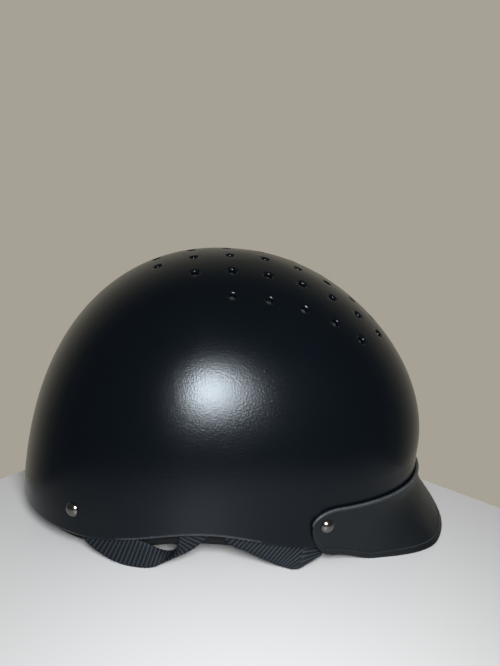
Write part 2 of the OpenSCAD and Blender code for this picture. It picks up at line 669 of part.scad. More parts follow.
barb_out = 3.8;
module prong(s) {
    tip = mouth_x - prong_len + 3;
    inner = prong_y - prong_t / 2;
    outer = prong_y + prong_t / 2;
    color([0.07, 0.07, 0.08]) union() {
        translate([prong_root_x, joint_y + s * prong_y, prong_z])
            cylinder(h = prong_h, r = root_r, $fn = 40);
        translate([0, joint_y, prong_z]) linear_extrude(prong_h) polygon([
            [prong_root_x, s * inner], [prong_root_x, s * outer], [tip + 6.4, s * outer],
            [tip + 5.6, s * (outer + barb_out)], [tip + 2.4, s * (outer + barb_out)],
            [tip, s * (prong_y + 0.6)], [tip, s * inner]]);
    }
}

module front_prong() { prong(-1); }
module rear_prong() { prong(1); }

// A frame round the chin strap that slides along it
module strap_frame(x, len, skin, z, h, tint) {
    color(tint) difference() {
        round_block(x - len / 2, x + len / 2, web_w + 2 * gap + 2 * skin, z - skin, h + 2 * skin, 1.2);
        block(x - len / 2 - past, x + len / 2 + past, web_w + 2 * gap, z, h);
    }
}

slider_x = -38;
keeper_x = 36;
keeper_len = slider_len - 2;
module chin_slider() {
    strap_frame(slider_x, slider_len, 1.6, web_slot_z, web_slot_h, [0.07, 0.07, 0.08]);
}
module strap_keeper() {
    strap_frame(keeper_x, keeper_len, 1.3, tail_slot_z, tail_slot_h, [0.1, 0.1, 0.1]);
}

// Comfort pads: patches that follow the foam's inner face
// The dots are flat, so they stand off the curved foam
dot_gap = 0.9;
pad_gap = dot_t + dot_gap + gap;
function pad_in(d) = foam_in_in + [d, d, d];
pad_edge = 1.5;
pad_n = 12;
pad_m = 5;
module wall_pad(a0, a1, z0, z1) {
    n = 2 * (pad_m + 1);
    function drop(t) = 1 - pow(2 * t - 1, 6);
    rings = [for (i = [0:pad_n]) let (s = i / pad_n, a = a0 + (a1 - a0) * s, e = drop(s))
        concat([for (k = [0:pad_m]) skin_pt(a, z0 + (z1 - z0) * k / pad_m, pad_in(pad_gap))],
               [for (k = [0:pad_m]) let (q = 1 - k / pad_m, t = pad_edge + (pad_t - pad_edge) * e * drop(q))
                   skin_pt(a, z0 + (z1 - z0) * q, pad_in(pad_gap + t))])];
    pts = [for (r = rings) each [for (p = r) place(p)]];
    ends = [for (k = [0:pad_m - 1]) each [[k, k + 1, n - 1 - k], [k + 1, n - 2 - k, n - 1 - k]]];
    last = pad_n * n;
    faces = concat(flatten([for (i = [0:pad_n - 1]) strip(n, i * n, (i + 1) * n, false)]),
        [for (t = ends) [t[0], t[2], t[1]]], [for (t = ends) [last + t[0], last + t[1], last + t[2]]]);
    color([0.12, 0.12, 0.13]) polyhedron(pts, faces, convexity = 8);
}

pad_low = 56;
pad_high = 88;
side_pad_lift = 6;
side_pad_more = 4;
brow_half_a = 46;
nape_half_a = 40;
side_half_a = 28;
module side_pad(side) {
    wall_pad(side * 90 - side_half_a, side * 90 + side_half_a,
        pad_low + side_pad_lift, pad_high + side_pad_more);
}
module brow_pad() { wall_pad(-brow_half_a, brow_half_a, pad_low, pad_high); }
module nape_pad() { wall_pad(180 - nape_half_a, 180 + nape_half_a, pad_low, pad_high); }
module left_side_pad() { side_pad(1); }
module right_side_pad() { side_pad(-1); }

// The crown pad: a round patch under the top of the foam
crown_pad_r = 42;
module crown_pad() {
    n = 32;
    m = 6;
    spots = [for (k = [1:m]) for (i = [0:n - 1]) [k / m, 360 * i / n]];
    function under(s, inset) =
        over_pt(crown_pad_r * s[0] * cos(s[1]), crown_pad_r * s[0] * sin(s[1]), inset);
    top = [for (s = spots) under(s, pad_in(pad_gap))];
    low = [for (s = spots) under(s, pad_in(pad_gap)
        + [0, 0, pad_edge + (pad_t - pad_edge) * (1 - pow(s[0], 6))])];
    tp = over_pt(0, 0, pad_in(pad_gap));
    lp = tp - [0, 0, pad_t];
    pts = [for (p = concat(top, [tp], low, [lp])) place(p)];
    c = m * n;
    faces = concat(
        fan(n, 0, c, true),
        flatten([for (k = [0:m - 2]) strip(n, k * n, (k + 1) * n, false)]),
        fan(n, c + 1, 2 * c + 1, false),
        flatten([for (k = [0:m - 2]) strip(n, c + 1 + k * n, c + 1 + (k + 1) * n, true)]),
        strip(n, (m - 1) * n, c + 1 + (m - 1) * n, false));
    color([0.12, 0.12, 0.13]) polyhedron(pts, faces, convexity = 8);
}

// Hook dots between the pads and the foam
dot_z = (pad_low + pad_high) / 2 + 3;
dot_angles = [-24, 24, 90, -90, 160, 200];
module pad_dots() {
    color([0.16, 0.16, 0.17]) {
        for (a = dot_angles) {
            p = skin_pt(a, dot_z, pad_in(dot_gap));
            o = skin_out(a, dot_z, pad_in(dot_gap));
            aim(place(p), place(p - o) - place(p)) cylinder(h = dot_t, d = dot_d, $fn = 32);
        }
        top = over_pt(0, 0, pad_in(dot_gap));
        translate(place(top) - [0, 0, dot_t]) cylinder(h = dot_t, d = dot_d, $fn = 32);
    }
}

outer_shell();
foam_liner();
headband();
visor();
front_rivets();
rear_rivets();
rivet_washers();
right_front_strap();
left_front_strap();
right_rear_strap();
left_rear_strap();
right_divider();
left_divider();
divider_pins();
right_chin_strap();
left_chin_strap();
chin_slider();
strap_keeper();
buckle_socket();
buckle_plug();
front_prong();
rear_prong();
brow_pad();
nape_pad();
right_side_pad();
left_side_pad();
crown_pad();
pad_dots();
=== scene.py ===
"""A riding helmet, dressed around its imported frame: shell, vents, peak, rivets and harness."""

import math

import bpy
import numpy as np
from mathutils import Matrix, Vector


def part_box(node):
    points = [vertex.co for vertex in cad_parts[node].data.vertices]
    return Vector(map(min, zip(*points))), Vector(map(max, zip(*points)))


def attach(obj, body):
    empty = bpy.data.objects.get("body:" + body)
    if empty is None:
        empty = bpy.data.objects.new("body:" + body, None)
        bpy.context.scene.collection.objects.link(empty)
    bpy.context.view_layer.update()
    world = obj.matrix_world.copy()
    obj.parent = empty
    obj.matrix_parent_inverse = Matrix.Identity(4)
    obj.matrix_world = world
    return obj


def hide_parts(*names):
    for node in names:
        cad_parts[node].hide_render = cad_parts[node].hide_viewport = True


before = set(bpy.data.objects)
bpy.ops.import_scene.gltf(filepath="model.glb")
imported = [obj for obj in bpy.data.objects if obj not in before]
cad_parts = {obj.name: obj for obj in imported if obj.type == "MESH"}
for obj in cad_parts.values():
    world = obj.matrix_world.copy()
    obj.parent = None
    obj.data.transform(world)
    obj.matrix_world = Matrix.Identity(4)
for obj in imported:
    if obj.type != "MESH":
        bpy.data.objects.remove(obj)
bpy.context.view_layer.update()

# Sizes in millimetres, as in the part's source. "Forward" is ahead of the shell's middle,
# "side" is out to the wearer's left, and angles go round from the nose.
MM = 0.001
SHELL_LEN, SHELL_W, CROWN_Z, SHELL_T = 280.0, 212.0, 186.0, 3.2
# How far the widest place lies behind the middle, and the crown ahead of the widest place
WIDEST_BACK, CROWN_LEAN = 12.0, 13.0
# Pairs for the nose and the nape: the widest height, then how full the plan and the dome are
BELLY = (58.0, 25.0)
PLAN = (2.42, 2.26)
DOME = (1.75, 2.3)
# The rim's height at the nose and the nape, and its rise over the ear, with place and half width
RIM_FRONT, RIM_BACK, EAR_RISE, EAR_BACK, EAR_HALF = 12.0, 13.0, 14.5, 23.0, 54.0
# The foam's edge at the nose and the nape, and its rise over the ear
FOAM_LOW, FOAM_EAR = 40.0, 11.0
# The shell's middle, front to back, and the pins that the chin strap hangs from
Y_MID = sum(corner.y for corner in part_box("outer_shell")) / 2 / MM
JOINT_Y, JOINT_Z, JOINT_SIDE = Y_MID + 13.0, 36.0, 73.0
# An inset is a depth under the shell's face at the ends, the sides and the top
OUTER = (0.0, 0.0, 0.0)
# The webbing's width and thickness, and the bores that the rivets' shanks pass through
WEB_W, WEB_T = 19.0, 1.8
RIVET_BORE_R = 2.3


# ---------------------------------------- camera and lights

# The photo's camera, from a fit to the helmet's outline, rim, vents and rivets: its place from
# the shell's middle, in metres, and the ways that its right side, its top and its lens face
CAMERA_PLACE = (-0.6003, 0.0774, 0.3145)
CAMERA_RIGHT = Vector((-0.1293, -0.9891, 0.0705))
CAMERA_UP = Vector((0.3014, 0.0285, 0.9531))
CAMERA_AHEAD = Vector((0.9447, -0.1445, -0.2944))
SENSOR_W, LENS = 36.0, 64.8

# The room: its pale far walls and its dim near side, the way to those walls, and the shares of
# that way over which one passes into the other
WALL_TONE, NEAR_TONE = (0.385, 0.36, 0.3, 1), (0.1, 0.105, 0.11, 1)
WALL_WAY, NEAR_TO_WALL = (0.98, -0.17, -0.1), (0.1, 0.75)


def make_camera():
    data = bpy.data.cameras.new("camera")
    data.sensor_fit = "HORIZONTAL"
    data.sensor_width = SENSOR_W
    data.lens = LENS
    data.clip_start, data.clip_end = 0.01, 50.0
    cam = bpy.data.objects.new("camera", data)
    turn = Matrix((CAMERA_RIGHT, CAMERA_UP, -CAMERA_AHEAD)).transposed().to_4x4()
    x, y, z = CAMERA_PLACE
    cam.matrix_world = Matrix.Translation((x, y + Y_MID * MM, z)) @ turn
    bpy.context.scene.collection.objects.link(cam)
    bpy.context.scene.camera = cam


def make_lamp(name, place, target, size, power, tint, spread=180.0, mirrored=True):
    """A round lamp, aimed at a target; its spread is in degrees."""
    data = bpy.data.lights.new(name, "AREA")
    data.shape = "DISK"
    data.size = size
    data.energy = power
    data.color = tint
    data.spread = math.radians(spread)
    lamp = bpy.data.objects.new(name, data)
    turn = (Vector(target) - Vector(place)).to_track_quat("-Z", "Y").to_matrix().to_4x4()
    lamp.matrix_world = Matrix.Translation(place) @ turn
    lamp.visible_glossy = mirrored
    bpy.context.scene.collection.objects.link(lamp)


def make_light():
    """A room with pale far walls and a dim near side, one small lamp and a soft fill."""
    world = bpy.data.worlds.new("room")
    bpy.context.scene.world = world
    world.use_nodes = True
    tree = world.node_tree
    way = tree.nodes.new("ShaderNodeTexCoord")
    far = tree.nodes.new("ShaderNodeVectorMath")
    far.operation = "DOT_PRODUCT"
    far.inputs[1].default_value = WALL_WAY
    tree.links.new(way.outputs["Generated"], far.inputs[0])
    wall = tree.nodes.new("ShaderNodeValToRGB")
    wall.color_ramp.interpolation = "EASE"
    for stop, at, tone in zip(wall.color_ramp.elements, NEAR_TO_WALL, (NEAR_TONE, WALL_TONE)):
        stop.position, stop.color = at, tone
    tree.links.new(far.outputs["Value"], wall.inputs["Fac"])
    tree.links.new(wall.outputs["Color"], tree.nodes["Background"].inputs["Color"])
    make_lamp("small_lamp", (-0.626, 0.032, 0.387), (-0.09, 0.0, 0.08), size=0.25, power=2.2,
              tint=(0.96, 0.985, 1), spread=85.0)
    make_lamp("fill_lamp", (-0.85, 0.2, 0.8), (0, 0, 0.03), size=0.9, power=2.5,
              tint=(0.98, 0.99, 1), mirrored=False)


make_camera()
make_light()
bpy.context.scene.view_settings.view_transform = "Standard"


# ---------------------------------------- working on a mesh

def only(*pieces):
    """Selects these pieces and nothing else, and works on the first."""
    for ob in bpy.context.selected_objects:
        ob.select_set(False)
    for ob in pieces:
        ob.select_set(True)
    bpy.context.view_layer.objects.active = pieces[0]


def in_edit(ob, *steps, pick="VERT"):
    """Runs edit-mode steps on one piece, picking by points or by faces."""
    only(ob)
    bpy.ops.object.mode_set(mode="EDIT")
    bpy.ops.mesh.select_mode(type=pick)
    for step in steps:
        step()
    bpy.ops.object.mode_set(mode="OBJECT")


def all_of():
    bpy.ops.mesh.select_all(action="SELECT")


def none_of():
    bpy.ops.mesh.select_all(action="DESELECT")


def points(ob):
    co = np.zeros(len(ob.data.vertices) * 3)
    ob.data.vertices.foreach_get("co", co)
    return co.reshape(-1, 3)


def set_points(ob, co):
    ob.data.vertices.foreach_set("co", np.asarray(co, float).ravel())
    ob.data.update()


def add_modifier(ob, kind, **settings):
    mod = ob.modifiers.new(kind.lower(), kind)
    for key, value in settings.items():
        setattr(mod, key, value)
    return mod


def apply_all(ob):
    only(ob)
    for mod in list(ob.modifiers):
        bpy.ops.object.modifier_apply(modifier=mod.name)


def outward(ob):
    in_edit(ob, all_of, lambda: bpy.ops.mesh.normals_make_consistent(inside=False))


def smooth(ob, angle):
    """Shades smoothly over every edge that is flatter than an angle."""
    only(ob)
    bpy.ops.object.shade_smooth_by_angle(angle=math.radians(angle))


def join(name, parts):
    only(*parts)
    bpy.ops.object.join()
    parts[0].name = name
    return parts[0]


def copy_of(ob):
    """A copy with a mesh of its own."""
    other = ob.copy()
    other.data = ob.data.copy()
    bpy.context.scene.collection.objects.link(other)
    return other


def rounded(ob, width, segments=3, angle=40.0):
    """Rounds every edge that is sharper than an angle."""
    add_modifier(ob, "BEVEL", width=width * MM, segments=segments, limit_method="ANGLE",
                 angle_limit=math.radians(angle), use_clamp_overlap=True)
    apply_all(ob)


def turned(name, rings, steps=48):
    """A round piece on +Z: a disc drawn out ring by ring, each ring a radius and a height."""
    (r0, z0), rest = rings[0], rings[1:]
    bpy.ops.mesh.primitive_circle_add(vertices=steps, radius=r0 * MM, fill_type="NGON",
                                      location=(0, 0, z0 * MM))
    ob = bpy.context.active_object
    only(ob)
    bpy.ops.object.transform_apply(location=True, rotation=True, scale=True)

    def draw():
        all_of()
        r, z = r0, z0
        for rn, zn in rest:
            bpy.ops.mesh.extrude_region_move(
                TRANSFORM_OT_translate={"value": (0, 0, (zn - z) * MM)})
            bpy.ops.transform.resize(value=(rn / r, rn / r, 1), center_override=(0, 0, zn * MM))
            r, z = rn, zn

    in_edit(ob, draw)
    ob.name = name
    outward(ob)
    return ob


def tube(name, rings, closed=False):
    """A skin over rings of points, each ring a closed loop, running back to the first ring when
    closed.
    """
    rings = np.asarray(rings, float)
    rings = np.concatenate([rings, rings[:, :1]], axis=1)
    if closed:
        rings = np.concatenate([rings, rings[:1]], axis=0)
    rows, cols = rings.shape[:2]
    bpy.ops.mesh.primitive_grid_add(x_subdivisions=cols - 1, y_subdivisions=rows - 1, size=1)
    ob = bpy.context.active_object
    ob.name = name
    set_points(ob, rings.reshape(-1, 3) * MM)
    return ob


def close_tube(ob, ends=True):
    """Merges a tube's seam, and fills its two ends where it has any."""
    def close():
        all_of()
        bpy.ops.mesh.remove_doubles(threshold=2e-6)
        if ends:
            none_of()
            bpy.ops.mesh.select_non_manifold()
            bpy.ops.mesh.fill_holes(sides=0)
    in_edit(ob, close)
    outward(ob)
    return ob


# ---------------------------------------- the helmet's form

def mix(pair, a):
    """A value between the nose's and the nape's, by the angle round from the nose."""
    return (pair[0] + pair[1]) / 2 + (pair[0] - pair[1]) / 2 * np.cos(a)


def ease(t):
    """A smooth step from nought to one."""
    t = np.clip(t, 0, 1)
    return t * t * (3 - 2 * t)


def ear_bump(f):
    """One over the ear, falling off ahead of it and behind it."""
    return np.exp(-(((f + EAR_BACK) / EAR_HALF) ** 2))


def rim_z(f):
    """The height of the shell's edge."""
    level = RIM_BACK + (RIM_FRONT - RIM_BACK) * (f + SHELL_LEN / 2) / SHELL_LEN
    return level + EAR_RISE * ear_bump(f)


def foam_edge(f):
    return FOAM_LOW + FOAM_EAR * ear_bump(f)


# The plan's curve is eased over these shares where its front and back halves meet at the sides
SIDE_SOFT, HALVES_MEET = 0.3, 0.6


def plan_reach(a):
    """How far the plan reaches at an angle, as a share of the ellipse's half sizes."""
    n = mix(PLAN, a)
    low = SIDE_SOFT ** n
    full = (1 + SIDE_SOFT ** 2) ** (n / 2) - low
    along = ((np.cos(a) ** 2 + SIDE_SOFT ** 2) ** (n / 2) - low) / full
    return (along + np.abs(np.sin(a)) ** n) ** (-1 / n)


def half_len(a):
    """Half the length at an angle, longer ahead of the widest place than behind it."""
    share = np.sin(math.pi / 2 * np.clip(np.cos(a) / HALVES_MEET, -1, 1))
    return SHELL_LEN / 2 + WIDEST_BACK * share


def plan_pt(a, inset):
    """Forward and side of the shell's widest outline at an angle."""
    reach = plan_reach(a)
    return (-WIDEST_BACK + (half_len(a) - inset[0]) * reach * np.cos(a),
            (SHELL_W / 2 - inset[1]) * reach * np.sin(a))


# The dome is rounded off over this share of its reach, so that the crown shows no point
CROWN_SOFT = 0.09


def dome_scale(m):
    """The lift and the scale that keep the softened dome's curve from nought to one."""
    lift = CROWN_SOFT ** m
    return lift, 1 / ((1 + CROWN_SOFT ** 2) ** (m / 2) - lift)


def dome_rise(a, r):
    """The dome's height, as a share, over a share of its reach."""
    m = mix(DOME, a)
    lift, scale = dome_scale(m)
    share = np.clip(((r * r + CROWN_SOFT ** 2) ** (m / 2) - lift) * scale, 0, 1)
    return (1 - share) ** (1 / m)


def dome_reach(a, h):
    """The other way about: the share of reach at a share of height."""
    m = mix(DOME, a)
    lift, scale = dome_scale(m)
    share = 1 - np.clip(h, 0, 1) ** m
    return np.sqrt(np.clip((share / scale + lift) ** (2 / m) - CROWN_SOFT ** 2, 0, 1))


def dome_pt(a, r, inset):
    """A point of the dome by angle and share of reach, as forward, side and height."""
    f, s = plan_pt(a, inset)
    z0 = mix(BELLY, a)
    h = dome_rise(a, r)
    return np.stack([-WIDEST_BACK + (f + WIDEST_BACK) * r + CROWN_LEAN * h, s * r,
                     z0 + (CROWN_Z - inset[2] - z0) * h], -1)


def skin_pt(a, z, inset):
    """A point of the skin by angle and height, on the dome or on the wall below it."""
    a, z = np.broadcast_arrays(np.asarray(a, float), np.asarray(z, float))
    z0 = mix(BELLY, a)
    h = (z - z0) / (CROWN_Z - inset[2] - z0)
    f, s = plan_pt(a, inset)
    wall = np.stack([f, s, z], -1)
    dome = dome_pt(a, dome_reach(a, h), inset)
    return np.where((h <= 0)[..., None], wall, dome)


def unit(v):
    return v / np.linalg.norm(v, axis=-1, keepdims=True)


# The steps taken round and up to find which way the skin faces
TURN_STEP, RISE_STEP = 0.008, 0.5


def skin_out(a, z):
    """The way that the skin faces, by angle and height."""
    across = skin_pt(a + TURN_STEP, z, OUTER) - skin_pt(a - TURN_STEP, z, OUTER)
    rise = skin_pt(a, z + RISE_STEP, OUTER) - skin_pt(a, z - RISE_STEP, OUTER)
    return unit(np.cross(across, rise))


def plan_out(a):
    """The way that the plan outline faces."""
    f1, s1 = plan_pt(a + TURN_STEP, OUTER)
    f0, s0 = plan_pt(a - TURN_STEP, OUTER)
    return unit(np.stack([s1 - s0, f0 - f1], -1))


# The rounds in which the angle of a plan point settles
ANGLE_ROUNDS = 6


def over_pt(f, s):
    """The dome over a plan point given ahead of the widest place, its angle found in rounds."""
    y = s / (SHELL_W / 2)
    a = np.arctan2(y, f / (SHELL_LEN / 2))
    for _ in range(ANGLE_ROUNDS):
        x = f / half_len(a)
        a = np.arctan2(y, x)
    return dome_pt(a, math.hypot(x, y) / plan_reach(a), OUTER)


def over_out(f, s):
    """The way that the dome faces over a plan point."""
    ahead = over_pt(f + 1, s) - over_pt(f - 1, s)
    aside = over_pt(f, s + 1) - over_pt(f, s - 1)
    return unit(np.cross(ahead, aside))


def place(p):
    """A point given as forward, side and height becomes a point of the helmet."""
    p = np.asarray(p, float)
    return np.stack([p[..., 1], Y_MID - p[..., 0], p[..., 2]], -1)


def aimed(at, out):
    """The matrix that puts a piece made on +Z at a point of the form, with +Z along out."""
    at, out = place(at), place(np.asarray(at) + out) - place(at)
    turn = Vector(out).to_track_quat("Z", "Y").to_matrix().to_4x4()
    return Matrix.Translation(Vector(at) * MM) @ turn


# ---------------------------------------- shell and foam

# The dome's length from crown to wall, near enough to share the rows out between the two
DOME_LEN = 120.0
# How far round the crown the points are evened out, and how many times
CROWN_PATCH, CROWN_ROUNDS = 16.0, 12


def half_ball(cuts):
    """The upper half of a cube drawn to a ball, which has no poles; its points are directions."""
    bpy.ops.mesh.primitive_cube_add(size=2)
    ob = bpy.context.active_object
    in_edit(ob, all_of, lambda: bpy.ops.mesh.subdivide(number_cuts=cuts))
    for part in (*ob.data.vertices, *ob.data.edges):
        part.select = False
    for poly in ob.data.polygons:
        poly.select = poly.center.z < 0
    in_edit(ob, lambda: bpy.ops.mesh.delete(type="FACE"), pick="FACE")
    set_points(ob, unit(np.tan(points(ob) * math.pi / 4)))
    return ob


def lay_on_cap(ob, inset, edge):
    """Moves a half ball onto the dome and wall, down to the edge."""
    d = points(ob)
    a = np.arctan2(d[:, 1], d[:, 0])
    q = np.arccos(np.clip(d[:, 2], 0, 1)) / (math.pi / 2)
    f, s = plan_pt(a, inset)
    low = edge(f)
    z0 = mix(BELLY, a)
    turn = np.arcsin(dome_reach(a, (low - z0) / (CROWN_Z - inset[2] - z0)))
    wall = np.maximum(z0 - low, 0)
    dome_len = turn * DOME_LEN
    share = dome_len / (dome_len + wall)
    on_dome = q <= share
    dome = dome_pt(a, np.sin(turn * np.minimum(q / share, 1)), inset)
    down = np.clip((q - share) / np.maximum(1 - share, 1e-6), 0, 1) * wall
    side = np.stack([f, s, z0 - down], -1)
    set_points(ob, place(np.where(on_dome[:, None], dome, side)) * MM)


def settle_crown(ob):
    """Evens out the last kink where front and back curves meet at the crown."""
    co = points(ob) / MM
    near = np.hypot(co[:, 0], co[:, 1] - (Y_MID + WIDEST_BACK - CROWN_LEAN)) < CROWN_PATCH
    for v, pick in zip(ob.data.vertices, near):
        v.select = bool(pick)

    def even():
        for _ in range(CROWN_ROUNDS):
            bpy.ops.mesh.vertices_smooth(factor=0.5)
    in_edit(ob, even)


def mark(ob, name, values):
    """Keeps a number for each point, which a finish can read."""
    layer = ob.data.attributes.new(name, "FLOAT", "POINT")
    layer.data.foreach_set("value", np.asarray(values, np.float32))


def cup(name, cuts, out_in, in_in, edge, lip):
    """A closed cup between an outer and an inner cap that share an edge."""
    outer = half_ball(cuts)
    inner = copy_of(outer)
    lay_on_cap(outer, out_in, edge)
    lay_on_cap(inner, in_in, edge)
    for cap in (outer, inner):
        settle_crown(cap)
    in_edit(inner, all_of, bpy.ops.mesh.flip_normals)
    ob = join(name, [outer, inner])

    def bridge():
        none_of()
        bpy.ops.mesh.select_non_manifold()
        bpy.ops.mesh.bridge_edge_loops()
    in_edit(ob, bridge)
    outward(ob)
    rounded(ob, lip, segments=3, angle=50)
    return ob


# Vents stand at even angles: the reach of their columns and rows, the degrees between columns,
# back to the first column and between rows, then the columns of each row, inner rows first
COLUMN_REACH, ROW_REACH = 130.0, 100.0
VENT_STEP, VENT_START, VENT_ROW_STEP = 10.75, 24.0, 12.6
VENT_COLUMNS = ((0, 8), (1, 8), (2, 7))
# A vent's bore and dished rim, as radius and height, and the foam's channel under it
VENT_PIT = ((2.2, -5.0), (2.2, -1.75), (2.28, -1.3), (2.45, -0.95), (2.75, -0.6),
            (3.2, -0.28), (3.55, -0.1), (3.8, 0.0), (4.4, 0.4))
CHANNEL_R, CHANNEL_DEEP = 3.5, 60.0
# The foam's play inside the shell, and its thickness at the ends, the sides and the top
FOAM_GAP, FOAM_END, FOAM_SIDE, FOAM_TOP = 0.8, 25, 21, 26
# The strip round the rim that carries a painted highlight: how far up, how far in and how far under
RIM_UP, RIM_IN, RIM_UNDER = 1.2, 2.2, 0.5


def vent_places():
    """The matrices that stand a tool in each vent."""
    found = []
    for row, (first, last) in enumerate(VENT_COLUMNS):
        for side in (-1, 1):
            for col in range(first, last):
                f = COLUMN_REACH * math.sin(math.radians(col * VENT_STEP - VENT_START))
                s = side * ROW_REACH * math.sin(math.radians((row + 0.5) * VENT_ROW_STEP))
                found.append(aimed(over_pt(f, s), over_out(f, s)))
    return found


# Each rivet's angle round from the nose, and its height
RIVETS = {"front": (math.radians(63.4), 30.8), "rear": (math.radians(133.6), 31.5)}


def rivet_place(which, side):
    """The matrix that stands a rivet on the skin."""
    a, z = RIVETS[which]
    return aimed(skin_pt(side * a, z, OUTER), skin_out(side * a, z))


def cut(ob, tool_mesh, matrices):
    """Cuts copies of a round tool out of a piece in one go."""
    tools = []
    for m in matrices:
        t = copy_of(tool_mesh)
        t.data.transform(m)
        tools.append(t)
    tool = join("tool", tools)
    add_modifier(ob, "BOOLEAN", operation="DIFFERENCE", object=tool, solver="EXACT")
    apply_all(ob)
    bpy.data.objects.remove(tool)
    bpy.data.objects.remove(tool_mesh)


def make_shell():
    """The moulded shell, with its vents, its rivet bores and a painted highlight along its rim."""
    ob = cup("shell", cuts=95, out_in=OUTER, in_in=(SHELL_T,) * 3, edge=rim_z, lip=0.9)
    cut(ob, turned("pit", VENT_PIT, steps=32), vent_places())
    bore = turned("bore", [(RIVET_BORE_R, -6.0), (RIVET_BORE_R, 6.0)], steps=32)
    cut(ob, bore, [rivet_place(which, side) for which in RIVETS for side in (-1, 1)])
    co = points(ob) / MM
    up = co[:, 2] - rim_z(Y_MID - co[:, 1])
    half = np.hypot(co[:, 0], co[:, 1] - Y_MID - WIDEST_BACK)
    f, s = plan_pt(np.arctan2(co[:, 0], Y_MID - co[:, 1] + WIDEST_BACK), OUTER)
    depth = np.hypot(f + WIDEST_BACK, s) - half
    # marks the rim strip that carries the painted highlight
    mark(ob, "edge", (up < RIM_UP) & (depth < RIM_IN) & (up > -RIM_UNDER))
    smooth(ob, angle=38)
    return ob


def make_foam():
    """The thick bead-foam cap inside the shell, with a channel under each vent."""
    gap = SHELL_T + FOAM_GAP
    inner = (gap + FOAM_END, gap + FOAM_SIDE, gap + FOAM_TOP)
    ob = cup("foam_liner_cap", cuts=47, out_in=(gap,) * 3, in_in=inner, edge=foam_edge, lip=2.0)
    channel = turned("channel", [(CHANNEL_R, -CHANNEL_DEEP), (CHANNEL_R, 1.0)], steps=20)
    cut(ob, channel, vent_places())
    smooth(ob, angle=38)
    return ob


# ---------------------------------------- peak

# The wall, the reach at the nose and at the corners beside it, and the heights at the nose
PEAK_T, PEAK_NOSE, PEAK_CORNER, PEAK_TOP_Z, PEAK_NOSE_Z = 2.6, 20.0, 3.5, 42.0, 2.5
# The wing: its last angle, the length and middle height of its rounded end, the lift of its
# lower edge, millimetres to a degree, and how far before the end the lift is reached
PEAK_WING, WING_LEN, WING_MID_Z, WING_RISE, PER_DEGREE = 67.1, 18.0, 31.0, 9.0, 2.7
RISE_FROM, RISE_SPAN = 5.5, 14.0
# Where the flare begins, how it bends out, the lower edge's wear, and the lie on the shell
FLARE_A, FLARE_SPAN, FLARE_TOP, FLARE_BEND, WORN, LIE = 54.6, 25.0, 0.12, 1.6, 0.7, 0.3
# The section: its corners' radius, the stepped band along the lower edge, and the bead over it
EDGE_ROUND, BAND, BAND_IN, BEAD, BEAD_W = 0.55, 4.4, 0.45, 0.25, 0.28
# Sections from wing to wing, points down the sheet, and points up each face of a section
PEAK_COLS, PEAK_ROWS, FACE_STEPS = 180, 81, 20


def wing_round(deg):
    """The share of full height left at an angle, as the wing's end is rounded."""
    t = np.clip((PEAK_WING - np.abs(deg)) * PER_DEGREE / WING_LEN, 0, 1)
    return np.sqrt(1 - (1 - t) ** 2)


def peak_point(deg, t):
    """A point of the peak's inner face, by angle and by share of the way down."""
    a = np.radians(deg)
    lift = WING_RISE * (1 - ease((PEAK_WING - RISE_FROM - np.abs(deg)) / RISE_SPAN))
    edge = lift + (PEAK_NOSE_Z + WORN) * np.maximum(0, np.cos(2 * a)) ** 2 - WORN
    hi = WING_MID_Z + (PEAK_TOP_Z - WING_MID_Z) * wing_round(deg)
    lo = WING_MID_Z + (edge - WING_MID_Z) * wing_round(deg)
    z = hi + (lo - hi) * t
    flare = ease((FLARE_A - np.abs(deg)) / FLARE_SPAN)
    reach = flare * (PEAK_NOSE + PEAK_CORNER * np.sin(3 * a) ** 2)
    out = LIE + reach * np.maximum(0, (t - FLARE_TOP) / (1 - FLARE_TOP)) ** FLARE_BEND
    s = skin_pt(a, z, OUTER)
    o = plan_out(a)
    return np.stack([s[..., 0] + o[..., 0] * out, s[..., 1] + o[..., 1] * out, z], -1)


def peak_sheet():
    """Lines of points up the peak's inner face, from wing to wing, and the way out at each."""
    swing = np.sin(np.radians(90 * (2 * np.arange(PEAK_COLS + 1) / PEAK_COLS - 1)))
    deg, down = np.meshgrid((PEAK_WING - 0.02) * swing, np.linspace(0, 1, PEAK_ROWS),
                            indexing="ij")
    last = PEAK_WING - 0.001
    along = (peak_point(np.clip(deg + 0.3, -last, last), down)
             - peak_point(np.clip(deg - 0.3, -last, last), down))
    fall = (peak_point(deg, np.minimum(1, down + 0.02))
            - peak_point(deg, np.maximum(0, down - 0.02)))
    out = unit(np.cross(fall, along))
    return peak_point(deg, down)[:, ::-1], out[:, ::-1]


